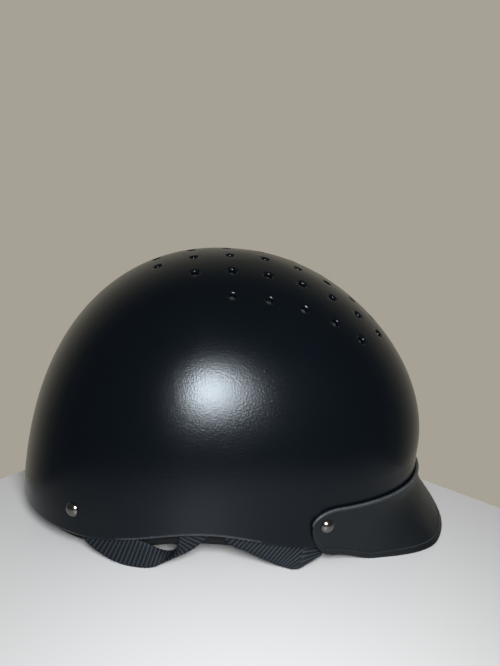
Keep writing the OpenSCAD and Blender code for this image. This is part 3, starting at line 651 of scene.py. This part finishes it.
def peak_section(skin, out):
    """One section as a ring of points: outer face, rounded lower edge, inner face, rounded top."""
    run = np.concatenate([[0], np.cumsum(np.linalg.norm(np.diff(skin, axis=0), axis=1))])
    tall = run[-1]
    c, lip = min(EDGE_ROUND, 0.25 * tall), min(BAND, 0.35 * tall)

    def at(distance, depth):
        pos = [np.interp(distance, run, skin[:, k]) for k in range(3)]
        way = [np.interp(distance, run, out[:, k]) for k in range(3)]
        return np.array(pos) + np.array(way) * depth

    def outer_depth(m):
        return (PEAK_T - BAND_IN * ease((lip - m) / BEAD_W / 2)
                + BEAD * math.exp(-((m - lip) / BEAD_W) ** 2) * (lip >= BAND))

    # heights on the outer face: the corner, two on the band, seven over the bead, the plain face;
    # where a wing's end is too short for them all, they gather at the corner
    marks = [lip * 0.45, lip * 0.7] + [lip + k * BEAD_W for k in (-1.6, -1, -0.5, 0, 0.5, 1, 1.6)]
    marks = [m for m in marks if c < m < tall - c]
    marks = [c] * (10 - len(marks)) + marks
    marks += list(np.linspace(marks[-1], tall - c, FACE_STEPS)[1:])
    outer = [at(m, outer_depth(m)) for m in marks[::-1]]
    inner = [at(m, 0.0) for m in np.linspace(c, tall - c, FACE_STEPS)[1:]]
    turns = np.radians([0, 30, 60, 90])
    low_t = PEAK_T - BAND_IN
    low = [at(c - c * math.sin(q), low_t - c + c * math.cos(q)) for q in turns[1:]]
    low += [at(c - c * math.sin(q), c - c * math.cos(q)) for q in turns[::-1]]
    high = [at(tall - c + c * math.sin(q), c - c * math.cos(q)) for q in turns[1:]]
    high += [at(tall - c + c * math.sin(q), PEAK_T - c + c * math.cos(q)) for q in turns[:0:-1]]
    return outer + low + inner + high


def make_peak():
    """The skirt: its section swept from wing to wing, and bored for the rivets."""
    rings = [peak_section(skin, out) for skin, out in zip(*peak_sheet())]
    ob = tube("peak_skirt", place(np.array(rings)))
    # a painted highlight along the bead and the upper corner
    paler = np.zeros(len(rings[0]) + 1)
    bead = FACE_STEPS + 2
    paler[bead:bead + 3] = 0.75
    paler[-4:] = 1.0
    paler[[0, -1]] = 0.5
    mark(ob, "edge", np.tile(paler, len(rings)))
    close_tube(ob)
    bore = turned("bore", [(RIVET_BORE_R, -6.0), (RIVET_BORE_R, 8.0)], steps=32)
    cut(ob, bore, [rivet_place("front", side) for side in (-1, 1)])
    co = points(ob)
    co[:, 2] = np.maximum(co[:, 2], 0.0)
    set_points(ob, co)
    smooth(ob, angle=50)
    return ob


# ---------------------------------------- rivets

# A head's radius, height, upright edge and steps up its dome, then its shank and flared foot
HEAD_R, HEAD_H, HEAD_EDGE, HEAD_STEPS = 4.7, 2.6, 0.32, 12
SHANK_R, FOOT_DEEP, FOOT_T, FOOT_R, FOOT_BASE_R = 2.2, 9.3, 0.8, 3.4, 3.0
# How far the heads stand off the shell: the front ones lie over the peak
FRONT_LIFT, REAR_LIFT = 3.15, 0.15


def make_rivets(which, lift):
    """Domed heads over shanks that end in flared feet behind the washers."""
    ball = (HEAD_R ** 2 + HEAD_H ** 2) / (2 * HEAD_H)
    half = math.asin(HEAD_R / ball)
    rings = [(SHANK_R, -FOOT_DEEP - FOOT_T), (FOOT_BASE_R, -FOOT_DEEP - FOOT_T),
             (FOOT_R, -FOOT_DEEP), (SHANK_R, -FOOT_DEEP), (SHANK_R, lift),
             (HEAD_R - 0.35, lift), (HEAD_R - 0.08, lift + 0.1), (HEAD_R, lift + HEAD_EDGE)]
    for k in range(1, HEAD_STEPS):
        q = half * (1 - k / HEAD_STEPS)
        rings.append((ball * math.sin(q), lift + HEAD_EDGE + (HEAD_H - HEAD_EDGE)
                      * (math.cos(q) - math.cos(half)) / (1 - math.cos(half))))
    rings.append((0.05, lift + HEAD_H))
    one = turned("rivet", rings, steps=56)
    both = []
    for side in (-1, 1):
        rivet = copy_of(one)
        rivet.data.transform(rivet_place(which, side))
        both.append(rivet)
    bpy.data.objects.remove(one)
    ob = join(which + "_rivet_heads", both)
    smooth(ob, angle=40)
    return ob


# ---------------------------------------- webbing

# The two edges of a harness strap, from its rivet, round its loop at the table and up inside to
# the divider. Each point is forward, side and height, as the strap was laid.
REAR_ROUTE = (
    ((-97.2, 77.2, 40), (-108.8, 68.7, 28.6)), ((-95.9, 80, 38.2), (-106.3, 72, 24.8)),
    ((-90, 83.2, 31.5), (-100.4, 75.4, 17.6)), ((-83.2, 86.6, 25), (-93.6, 82, 9.4)),
    ((-75.2, 90.4, 21.6), (-83.2, 88.8, 4.2)), ((-66, 93.6, 19.8), (-72.3, 94.2, 1.2)),
    ((-55.5, 96.6, 16.8), (-60.5, 97.6, 0.2)), ((-47.3, 94.6, 11.8), (-51.5, 98.4, 0.9)),
    ((-39.6, 88.8, 7), (-43.6, 98.6, 5)), ((-37.6, 94.2, 11.4), (-38, 99.6, 8.4)),
    ((-36.8, 99.3, 17.2), (-31.6, 100, 11.6)), ((-36, 100.5, 24), (-24, 100.4, 17.4)),
    ((-34.4, 100.6, 32), (-16.6, 100.6, 26)), ((-33, 100.6, 39.5), (-14.2, 100.4, 35.5)),
    ((-33, 98.6, 43.2), (-14, 98.8, 42.2)), ((-33, 94, 44.6), (-14, 94.2, 44.4)),
    ((-33, 87.6, 44.8), (-14, 87.8, 44.8)), ((-32.4, 81.6, 41), (-14.4, 83.2, 44.8)),
    ((-29, 80.2, 34.6), (-12.6, 80.6, 42.8)), ((-19.7, 79.9, 29.3), (-6.3, 79.9, 42.7)),
    ((-14.7, 79.9, 24.3), (-1.3, 79.9, 37.7)))
FRONT_ROUTE = (
    ((68.4, 90.2, 36), (50, 95.3, 37.2)), ((67.9, 90.4, 28.8), (49.5, 95.6, 30)),
    ((66.4, 91, 20), (47.8, 96.1, 22)), ((64.2, 91.9, 14.2), (45.9, 96.5, 16.2)),
    ((61.2, 94, 11), (44, 98.6, 11)), ((58.2, 97.4, 10), (42.4, 101.6, 4.8)),
    ((57.2, 98, 9.6), (41, 102.8, 2)), ((56.6, 97.4, 9.2), (38.4, 102.8, 1.1)),
    ((54.6, 96.2, 10), (35.2, 101.8, 1.1)), ((48, 95.6, 14.8), (31.2, 100.6, 1.7)),
    ((37.4, 97.6, 19.4), (24.6, 100.8, 4.4)), ((26.5, 98.8, 23), (15, 101.2, 9.2)),
    ((17, 100, 27.2), (5.2, 101.2, 14)), ((10.5, 100.4, 31), (-2.6, 101, 17.4)),
    ((7.6, 100.6, 35.6), (-9, 101, 24.6)), ((6.6, 100.4, 40), (-11.8, 100.8, 34)),
    ((6.5, 98.4, 43.4), (-12.5, 98.8, 42)), ((6.5, 94.2, 44.6), (-12.5, 94.2, 44.6)),
    ((6.5, 86.4, 45), (-12.5, 87, 45.2)), ((5.4, 79, 42.4), (-13, 80.2, 46.2)),
    ((-0.8, 77.6, 33.6), (-13.8, 77.6, 47.4)), ((-6.3, 77.5, 29.3), (-19.7, 77.5, 42.7)),
    ((-11.3, 77.5, 24.3), (-24.7, 77.5, 37.7)))
# From rib to rib, the points along one, and how far the webbing thins and narrows between them
RIB_PITCH, RIB_SAMPLES, RIB_DEPTH, RIB_NARROW = 2.6, 8, 0.42, 0.012
# The points across the webbing, how they gather at its edges, and how thin the edges are
ACROSS, GATHER, SELVAGE = 11, 1.35, 0.3


def curve(p, samples):
    """A smooth line through points, at a number of steps between each two."""
    p = np.asarray(p, float)
    q = np.vstack([p[:1], p, p[-1:]])
    out = []
    for i in range(len(p) - 1):
        a, b, c, d = q[i], q[i + 1], q[i + 2], q[i + 3]
        for k in range(samples):
            t = k / samples
            out.append(0.5 * (2 * b + (c - a) * t + (2 * a - 5 * b + 4 * c - d) * t ** 2
                              + (3 * b - a - 3 * c + d) * t ** 3))
    return np.array(out + [p[-1]])


def even_out(line, guide, step):
    """Respaces a line by the length of its guide."""
    d = np.concatenate([[0], np.cumsum(np.linalg.norm(np.diff(guide, axis=0), axis=1))])
    count = int(d[-1] / step)
    at = np.linspace(0, d[-1], count + 1)
    return np.stack([np.interp(at, d, line[:, k]) for k in range(3)], -1), at


def ribbon(name, one, two, side):
    """Woven webbing between two edge lines, with ribs across it and a rounded selvage."""
    middle = (one + two) / 2
    step = RIB_PITCH / RIB_SAMPLES
    a, at = even_out(one, middle, step)
    b, _ = even_out(two, middle, step)
    c = (a + b) / 2
    out = unit(np.cross(np.gradient(c, axis=0), a - b))
    across = np.linspace(-1, 1, ACROSS)
    across = np.sign(across) * (1 - (1 - np.abs(across)) ** GATHER)
    rib = 0.5 - 0.5 * np.cos(2 * math.pi * at / RIB_PITCH)
    edge = np.sqrt(np.clip(1 - np.abs(across) ** 9, SELVAGE ** 2, 1))
    thick = (WEB_T / 2 - RIB_DEPTH * (1 - rib))[:, None] * edge[None, :]
    wide = 1 - RIB_NARROW * (1 - rib)
    mids = c[:, None, :] + (a - b)[:, None, :] / 2 * (across[None, :] * wide[:, None])[..., None]
    top = mids + out[:, None, :] * thick[..., None]
    low = mids - out[:, None, :] * thick[..., None]
    rings = np.concatenate([top, low[:, ::-1]], axis=1)
    rings[..., 1] *= side
    ob = tube(name, place(rings))
    width = np.concatenate([across, across[::-1], across[:1]]) * WEB_W / 2
    u = np.repeat(at, len(width)) * MM
    v = np.tile(width, len(at)) * MM
    # the rib's profile, which the finish also reads for painted highlight on the ridges and painted
    # shade between them
    mark(ob, "rib", np.repeat(rib, len(width)))
    uv = ob.data.uv_layers.active or ob.data.uv_layers.new(name="UVMap")
    idx = np.zeros(len(ob.data.loops), int)
    ob.data.loops.foreach_get("vertex_index", idx)
    uv.data.foreach_set("uv", np.stack([u[idx], v[idx]], -1).ravel())
    close_tube(ob)
    smooth(ob, angle=60)
    return ob


def harness_strap(name, route, side):
    """A front or rear strap from the edges laid out in its route."""
    one = curve([r[0] for r in route], 8)
    two = curve([r[1] for r in route], 8)
    return ribbon(name, one, two, side)


# The chin strap's face at rest, its bend at each side, and the heights below its rounded upper
# end at which its width is set
CHIN_Z, BEND_R, PIN_STEPS = 6.5, 18.0, (0.2, 0.8, 2, 4, 7, 9.5)
# The buckle that the straps run into: its two far faces, its slots and the play between pieces
SOCKET_IN, PLUG_OUT, SLOT_DEEP, PLAY = 24.0, 22.3, 5.0, 0.3
# The loose tail: the gap under it and its end
TAIL_GAP, TAIL_END = 0.4, 47


def run_to(start, end, z):
    """Even steps along a level stretch."""
    return [(start + k * (end - start) / 6, z) for k in range(1, 7)]


def chin_line(end, low):
    """Down from the pin, round the bend and in to the buckle, as side and height."""
    pts = [(JOINT_SIDE, JOINT_Z + WEB_W / 2 - k) for k in PIN_STEPS]
    pts += [(JOINT_SIDE - BEND_R * (1 - math.cos(q)), low + BEND_R * (1 - math.sin(q)))
            for q in np.radians(np.arange(0, 91, 10))]
    return pts + run_to(JOINT_SIDE - BEND_R, end, low)


def chin_strap(name, side, line):
    """A strap that hangs from its joint, whose upper end is rounded about the pin."""
    line = np.array(line)
    z = line[:, 1]
    half = WEB_W / 2 * np.ones(len(line))
    top = np.arange(len(line)) < len(PIN_STEPS)
    half[top] = np.sqrt(np.clip((WEB_W / 2) ** 2 - (z[top] - JOINT_Z) ** 2, 1.5, None))
    fwd = Y_MID - JOINT_Y
    one = np.stack([fwd + half, line[:, 0], z], -1)
    two = np.stack([fwd - half, line[:, 0], z], -1)
    return ribbon(name, curve(one, 6), curve(two, 6), side)


def make_chin_straps():
    """The right strap ends in the socket; the left turns back through the plug to its tail."""
    level = CHIN_Z + WEB_T / 2
    right = chin_strap("right_chin_webbing", -1, chin_line(SOCKET_IN - SLOT_DEEP + PLAY, level))
    fold = (WEB_T + TAIL_GAP) / 2
    low = level - fold
    end = PLUG_OUT - SLOT_DEEP + PLAY + fold + WEB_T / 2
    line = chin_line(end, low)
    line += [(end - fold * math.sin(q), low + fold * (1 - math.cos(q)))
             for q in np.radians(np.arange(30, 181, 30))]
    line += run_to(end, TAIL_END, low + 2 * fold)
    return right, chin_strap("left_chin_webbing", 1, line)


# ---------------------------------------- headband and pads

# The headband's inset and thickness, the rounding of its edges, its lower edge at the ends with
# the rise over the ear, its upper edge at the ends and at the ear, and the step in its outer face
BAND_INSET, BAND_T, BAND_ROUND, BAND_LOW, BAND_RISE = 7.6, 13.0, 3.0, 4, 12
BAND_TOP, BAND_TOP_EAR, BAND_ROLL, BAND_STEP = 39.7, 38, 8, 3.4


def make_headband():
    """The padded ring, from its stepped section, rounded by subdivision."""
    near, r, soft = BAND_INSET, BAND_ROUND, 0.9
    step, far = near + BAND_STEP, near + BAND_T
    rings = []
    for a in np.radians(np.arange(0, 360, 4)):
        f = plan_pt(a, (near, near, 0))[0]
        lo = BAND_LOW + BAND_RISE * ear_bump(f)
        hi = BAND_TOP + (BAND_TOP_EAR - BAND_TOP) * ear_bump(f)
        section = [(near + r, lo), (near + soft, lo + soft), (near, lo + r), (near, lo + BAND_ROLL),
                   (step, lo + BAND_ROLL + 3), (step, hi - r), (step + r, hi), (far - r, hi),
                   (far, hi - r), (far, (lo + hi) / 2), (far, lo + r), (far - soft, lo + soft),
                   (far - r, lo)]
        rings.append([(*plan_pt(a, (q, q, 0)), z) for q, z in section])
    ob = close_tube(tube("padded_headband", place(np.array(rings)), closed=True), ends=False)
    add_modifier(ob, "SUBSURF", levels=2, render_levels=2)
    apply_all(ob)
    smooth(ob, angle=80)
    return ob


def merged_copy(node, name):
    """A node's solid as a mesh of its own, without the frame's notes on it."""
    ob = copy_of(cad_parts[node])
    ob.parent = None
    for key in list(ob.keys()):
        if key.startswith("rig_"):
            del ob[key]
    ob.name = name
    ob.data.materials.clear()
    in_edit(ob, all_of, lambda: bpy.ops.mesh.remove_doubles(threshold=2e-6))
    return ob


# A pad's grid for cloth, how far it is drawn in before it is blown up, the most that it swells,
# and the cloth's pressure and frames
PAD_GRID, PAD_DRAWN_IN, PAD_SWELL, PAD_PRESSURE, CLOTH_FRAMES = 1.4, 0.5, 1.2, 4.0, 12


def blow_up(ob):
    """Fills a pad as cloth under pressure, held to the swell that its foam allows."""
    in_edit(ob, all_of, lambda: bpy.ops.transform.shrink_fatten(value=-PAD_DRAWN_IN * MM))
    start = points(ob)
    cloth = add_modifier(ob, "CLOTH")
    cloth.settings.use_pressure = True
    cloth.settings.uniform_pressure_force = PAD_PRESSURE
    cloth.settings.effector_weights.gravity = 0
    scene = bpy.context.scene
    for f in range(1, CLOTH_FRAMES + 1):
        scene.frame_set(f)
    moved = points(ob.evaluated_get(bpy.context.evaluated_depsgraph_get())) - start
    far = np.linalg.norm(moved, axis=1, keepdims=True)
    moved *= np.minimum(1, PAD_SWELL * MM / np.maximum(far, 1e-9))
    ob.modifiers.remove(cloth)
    scene.frame_set(1)
    set_points(ob, start + moved)


def stuffed(node, name):
    """A foam pad in cloth: its form is remeshed, blown up a little and smoothed."""
    ob = merged_copy(node, name)
    outward(ob)
    add_modifier(ob, "REMESH", mode="VOXEL", voxel_size=PAD_GRID * MM)
    apply_all(ob)
    blow_up(ob)
    add_modifier(ob, "SMOOTH", factor=0.5, iterations=6)
    add_modifier(ob, "SUBSURF", levels=1, render_levels=1)
    apply_all(ob)
    smooth(ob, angle=80)
    return ob


def eased(node, name, width):
    """A moulded piece from its exact solid, with its edges rounded as a mould leaves them."""
    ob = merged_copy(node, name)
    in_edit(ob, all_of, lambda: bpy.ops.mesh.dissolve_limited(angle_limit=math.radians(0.5)))
    outward(ob)
    rounded(ob, width, segments=2, angle=35)
    smooth(ob, angle=32)
    return ob


# ---------------------------------------- finishes

def finish(name):
    """A new finish, its nodes and its shader."""
    mat = bpy.data.materials.new(name)
    mat.use_nodes = True
    tree = mat.node_tree
    return mat, tree, tree.nodes["Principled BSDF"]


def node_of(tree, kind, **values):
    """A node with its inputs, or else its settings, filled in."""
    n = tree.nodes.new(kind)
    for key, value in values.items():
        if key in n.inputs:
            n.inputs[key].default_value = value
        else:
            setattr(n, key, value)
    return n


def object_place(tree):
    """Where a point lies on its own piece."""
    return node_of(tree, "ShaderNodeTexCoord").outputs["Object"]


def noise(tree, where, scale, detail=3.0):
    """Soft patches when the scale is low, and grain when it is high."""
    n = node_of(tree, "ShaderNodeTexNoise", Scale=scale, Detail=detail)
    tree.links.new(where, n.inputs["Vector"])
    return n.outputs["Fac"]


def ramp(tree, value, low, high, stops=(0.0, 1.0)):
    """Passes from one colour to another as a value rises between two stops."""
    n = node_of(tree, "ShaderNodeValToRGB")
    n.color_ramp.elements[0].position = stops[0]
    n.color_ramp.elements[1].position = stops[1]
    n.color_ramp.elements[0].color = (*low, 1)
    n.color_ramp.elements[1].color = (*high, 1)
    tree.links.new(value, n.inputs["Fac"])
    return n.outputs["Color"]


def spread(tree, value, low, high, from_low=0.3, from_high=0.7):
    """Spreads a value over a range of roughness, height or share."""
    n = node_of(tree, "ShaderNodeMapRange",
                **{"From Min": from_low, "From Max": from_high, "To Min": low, "To Max": high})
    tree.links.new(value, n.inputs["Value"])
    return n.outputs["Result"]


def bump(tree, shader, height, strength, distance, after=None):
    """Raises the surface by a pattern, over an earlier one where there is one."""
    n = node_of(tree, "ShaderNodeBump", Strength=strength, Distance=distance)
    tree.links.new(height, n.inputs["Height"])
    if after is not None:
        tree.links.new(after, n.inputs["Normal"])
    tree.links.new(n.outputs["Normal"], shader.inputs["Normal"])
    return n.outputs["Normal"]


def painted_edge_highlight(tree, shader, where, colour, low, high):
    """Paints a highlight in a paler tone along the marked edges, broken up a little by noise."""
    edge = node_of(tree, "ShaderNodeAttribute", attribute_name="edge")
    # the marked edges, broken up by noise, are where the painted highlight shows
    glint_mask = node_of(tree, "ShaderNodeMath", operation="MULTIPLY")
    tree.links.new(edge.outputs["Fac"], glint_mask.inputs[0])
    tree.links.new(spread(tree, noise(tree, where, 700), 0.35, 1.0), glint_mask.inputs[1])
    both = node_of(tree, "ShaderNodeMix", data_type="RGBA")
    tree.links.new(glint_mask.outputs["Value"], both.inputs["Factor"])
    tree.links.new(colour, both.inputs["A"])
    tree.links.new(ramp(tree, noise(tree, where, 90), low, high), both.inputs["B"])
    tree.links.new(both.outputs["Result"], shader.inputs["Base Color"])


def shell_paint():
    """Satin black with a blue cast, and the fine grain that sparkles in a highlight."""
    mat, tree, sh = finish("satin_black_shell")
    where = object_place(tree)
    paint = ramp(tree, noise(tree, where, 9), (0.0009, 0.0016, 0.0026), (0.0013, 0.0022, 0.0034))
    # a painted highlight along the shell's rim strip
    painted_edge_highlight(tree, sh, where, paint, (0.028, 0.034, 0.038), (0.045, 0.052, 0.058))
    tree.links.new(spread(tree, noise(tree, where, 35), 0.21, 0.235), sh.inputs["Roughness"])
    sh.inputs["Specular Tint"].default_value = (0.86, 0.94, 1, 1)
    sh.inputs["IOR"].default_value = 1.3
    bump(tree, sh, noise(tree, where, 1100, detail=1.0), strength=1.0, distance=0.0001)
    return mat


def peak_skin():
    """Flexible satin black, with a painted highlight along its bead and its upper edge."""
    mat, tree, sh = finish("satin_black_peak")
    where = object_place(tree)
    skin = ramp(tree, noise(tree, where, 14), (0.0035, 0.0045, 0.0055), (0.005, 0.006, 0.007))
    # a painted highlight along the bead and the upper edge
    painted_edge_highlight(tree, sh, where, skin, (0.045, 0.052, 0.058), (0.09, 0.098, 0.105))
    tree.links.new(spread(tree, noise(tree, where, 60), 0.4, 0.45), sh.inputs["Roughness"])
    sh.inputs["IOR"].default_value = 1.32
    sh.inputs["Specular Tint"].default_value = (0.88, 0.95, 1, 1)
    bump(tree, sh, noise(tree, where, 1500, detail=2.0), strength=0.15, distance=0.00004)
    return mat


def rivet_metal():
    """Polished heads, dark as they mirror a dim room."""
    mat, tree, sh = finish("rivet_metal")
    where = object_place(tree)
    tree.links.new(ramp(tree, noise(tree, where, 300), (0.13, 0.123, 0.115), (0.18, 0.17, 0.16)),
                   sh.inputs["Base Color"])
    tree.links.new(spread(tree, noise(tree, where, 900), 0.14, 0.22), sh.inputs["Roughness"])
    sh.inputs["Metallic"].default_value = 1.0
    bump(tree, sh, noise(tree, where, 700), strength=0.05, distance=0.00005)
    return mat


def plain_steel():
    """Washers and pins, not polished."""
    mat, tree, sh = finish("plain_steel")
    where = object_place(tree)
    tree.links.new(ramp(tree, noise(tree, where, 400), (0.34, 0.34, 0.34), (0.46, 0.46, 0.47)),
                   sh.inputs["Base Color"])
    tree.links.new(spread(tree, noise(tree, where, 1200), 0.3, 0.42), sh.inputs["Roughness"])
    sh.inputs["Metallic"].default_value = 1.0
    return mat


def webbing_cloth():
    """Ribbed webbing with yarn along the ribs, its ridges painted paler and its valleys darker:
    painted highlight and painted shade.
    """
    mat, tree, sh = finish("ribbed_webbing")
    rib = node_of(tree, "ShaderNodeAttribute", attribute_name="rib")
    uv = node_of(tree, "ShaderNodeUVMap")
    yarn = node_of(tree, "ShaderNodeTexWave", Scale=520.0, Distortion=1.2, Detail=2.0,
                   bands_direction="Y")
    tree.links.new(uv.outputs["UV"], yarn.inputs["Vector"])
    # painted highlight on the ridges and painted shade between them
    painted_rib_light = ramp(tree, rib.outputs["Fac"], (0.003, 0.0038, 0.005), (0.022, 0.029, 0.037), (0.6, 1.0))
    tint = node_of(tree, "ShaderNodeMix", data_type="RGBA", blend_type="MULTIPLY", Factor=0.5)
    tree.links.new(painted_rib_light, tint.inputs["A"])
    tree.links.new(yarn.outputs["Color"], tint.inputs["B"])
    tree.links.new(tint.outputs["Result"], sh.inputs["Base Color"])
    sh.inputs["Roughness"].default_value = 0.6
    sh.inputs["IOR"].default_value = 1.25
    sh.inputs["Specular Tint"].default_value = (0.8, 0.92, 1, 1)
    bump(tree, sh, yarn.outputs["Fac"], strength=0.35, distance=0.00012)
    return mat


def moulded(name, low, high, rough, grain=1400.0):
    """Moulded black, with the fine grain of its mould."""
    mat, tree, sh = finish(name)
    where = object_place(tree)
    tree.links.new(ramp(tree, noise(tree, where, 120), low, high), sh.inputs["Base Color"])
    tree.links.new(spread(tree, noise(tree, where, 500), rough - 0.04, rough + 0.05),
                   sh.inputs["Roughness"])
    bump(tree, sh, noise(tree, where, grain), strength=0.22, distance=0.00006)
    return mat


def bead_foam():
    """Beads pressed together, dark in the seams between them."""
    mat, tree, sh = finish("bead_foam")
    where = object_place(tree)
    beads = node_of(tree, "ShaderNodeTexVoronoi", Scale=290.0)
    tree.links.new(where, beads.inputs["Vector"])
    tone = ramp(tree, beads.outputs["Distance"], (0.04, 0.04, 0.042), (0.018, 0.018, 0.02),
                (0.1, 0.75))
    tree.links.new(tone, sh.inputs["Base Color"])
    sh.inputs["Roughness"].default_value = 0.7
    flip = spread(tree, beads.outputs["Distance"], 1.0, 0.0, 0.0, 0.8)
    bump(tree, sh, flip, strength=0.5, distance=0.0006)
    return mat


def lining_cloth():
    """Brushed knit over foam."""
    mat, tree, sh = finish("lining_cloth")
    where = object_place(tree)
    knit = node_of(tree, "ShaderNodeTexVoronoi", Scale=1100.0)
    tree.links.new(where, knit.inputs["Vector"])
    patches = noise(tree, where, 160, detail=5.0)
    tree.links.new(ramp(tree, patches, (0.0042, 0.0047, 0.0052), (0.0085, 0.0093, 0.0102)),
                   sh.inputs["Base Color"])
    sh.inputs["Roughness"].default_value = 0.85
    sh.inputs["IOR"].default_value = 1.15
    first = bump(tree, sh, knit.outputs["Distance"], strength=0.35, distance=0.0004)
    bump(tree, sh, noise(tree, where, 90, detail=4.0), strength=0.2, distance=0.0008,
         after=first)
    return mat


def hook_tape():
    """Rows of tiny hooks, which hold the pads."""
    mat, tree, sh = finish("hook_tape")
    where = object_place(tree)
    hooks = node_of(tree, "ShaderNodeTexVoronoi", Scale=1400.0)
    tree.links.new(where, hooks.inputs["Vector"])
    tone = ramp(tree, hooks.outputs["Distance"], (0.04, 0.04, 0.04), (0.008, 0.008, 0.008),
                (0.0, 0.6))
    tree.links.new(tone, sh.inputs["Base Color"])
    sh.inputs["Roughness"].default_value = 0.6
    flip = spread(tree, hooks.outputs["Distance"], 1.0, 0.0, 0.0, 0.6)
    bump(tree, sh, flip, strength=0.6, distance=0.0004)
    return mat


def table_top():
    """A pale, smooth top."""
    mat, tree, sh = finish("table_top")
    where = object_place(tree)
    tree.links.new(ramp(tree, noise(tree, where, 3), (0.475, 0.472, 0.472), (0.505, 0.502, 0.502)),
                   sh.inputs["Base Color"])
    sh.inputs["Roughness"].default_value = 0.45
    return mat


def dress(ob, material, body, slot, *nodes):
    """Gives a piece its finish, says which body it rides on, and hides the nodes that it stands
    for.
    """
    ob.data.materials.clear()
    ob.data.materials.append(material)
    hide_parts(*nodes)
    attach(ob, body)


# ---------------------------------------- the pieces

WEBBING = webbing_cloth()
BUCKLE = moulded("buckle_plastic", (0.012, 0.012, 0.013), (0.02, 0.02, 0.022), 0.42)
KEEPER = moulded("keeper_rubber", (0.012, 0.012, 0.012), (0.02, 0.02, 0.02), 0.65, 900.0)
LINING = lining_cloth()
STEEL = plain_steel()
RIVET = rivet_metal()

dress(make_shell(), shell_paint(), "helmet", "shell", "outer_shell")
dress(make_foam(), bead_foam(), "helmet", "foam", "foam_liner")
dress(make_peak(), peak_skin(), "helmet", "peak", "visor")
dress(make_rivets("front", FRONT_LIFT), RIVET, "helmet", "rivets", "front_rivets")
dress(make_rivets("rear", REAR_LIFT), RIVET, "helmet", "rivets", "rear_rivets")

band = make_headband()
dress(band, LINING, "helmet", "lining", "headband")

for label, sign in (("right", -1), ("left", 1)):
    for end, route in (("front", FRONT_ROUTE), ("rear", REAR_ROUTE)):
        dress(harness_strap(f"{label}_{end}_webbing", route, sign), WEBBING, "helmet", "webbing",
              f"{label}_{end}_strap")
for label, strap in zip(("right", "left"), make_chin_straps()):
    dress(strap, WEBBING, "chin_loop", "webbing", f"{label}_chin_strap")

# each moulded piece, its body and how far its edges are rounded
for node, body, width in (
        ("right_divider", "helmet", 0.5), ("left_divider", "helmet", 0.5),
        ("buckle_socket", "chin_loop", 0.6), ("buckle_plug", "chin_loop", 0.5),
        ("front_prong", "front_prong_body", 0.4), ("rear_prong", "rear_prong_body", 0.4),
        ("chin_slider", "slider", 0.4)):
    dress(eased(node, node + "_moulding", width), BUCKLE, body, "buckle", node)
dress(eased("strap_keeper", "strap_keeper_moulding", 0.4), KEEPER, "keeper", "keeper",
      "strap_keeper")
dress(eased("divider_pins", "divider_pin_heads", 0.3), STEEL, "helmet", "pins", "divider_pins")
dress(eased("rivet_washers", "washers", 0.15), STEEL, "helmet", "washers", "rivet_washers")
dress(eased("pad_dots", "hook_dots", 0.2), hook_tape(), "helmet", "hook_tape", "pad_dots")

for node in ("brow_pad", "nape_pad", "right_side_pad", "left_side_pad", "crown_pad"):
    pad = stuffed(node, node + "_cushion")
    dress(pad, LINING, "helmet", "lining", node)


# ---------------------------------------- the table

# The table's far corner, the ways that its two edges leave it, and how far they are carried on
TABLE_CORNER = np.array([0.1905, 0.0013, 0.0])
TABLE_LEFT = np.array([-0.695, 0.719, 0.0])
TABLE_RIGHT = np.array([-0.719, -0.695, 0.0])
TABLE_REACH = 0.8


def make_table():
    """A pale table top whose far corner lies behind the helmet."""
    bpy.ops.mesh.primitive_plane_add(size=1)
    ob = bpy.context.active_object
    ob.name = "table"
    left, right = TABLE_LEFT * TABLE_REACH, TABLE_RIGHT * TABLE_REACH
    set_points(ob, [TABLE_CORNER + way for way in (0 * left, left, right, left + right)])
    ob.data.materials.append(table_top())


make_table()
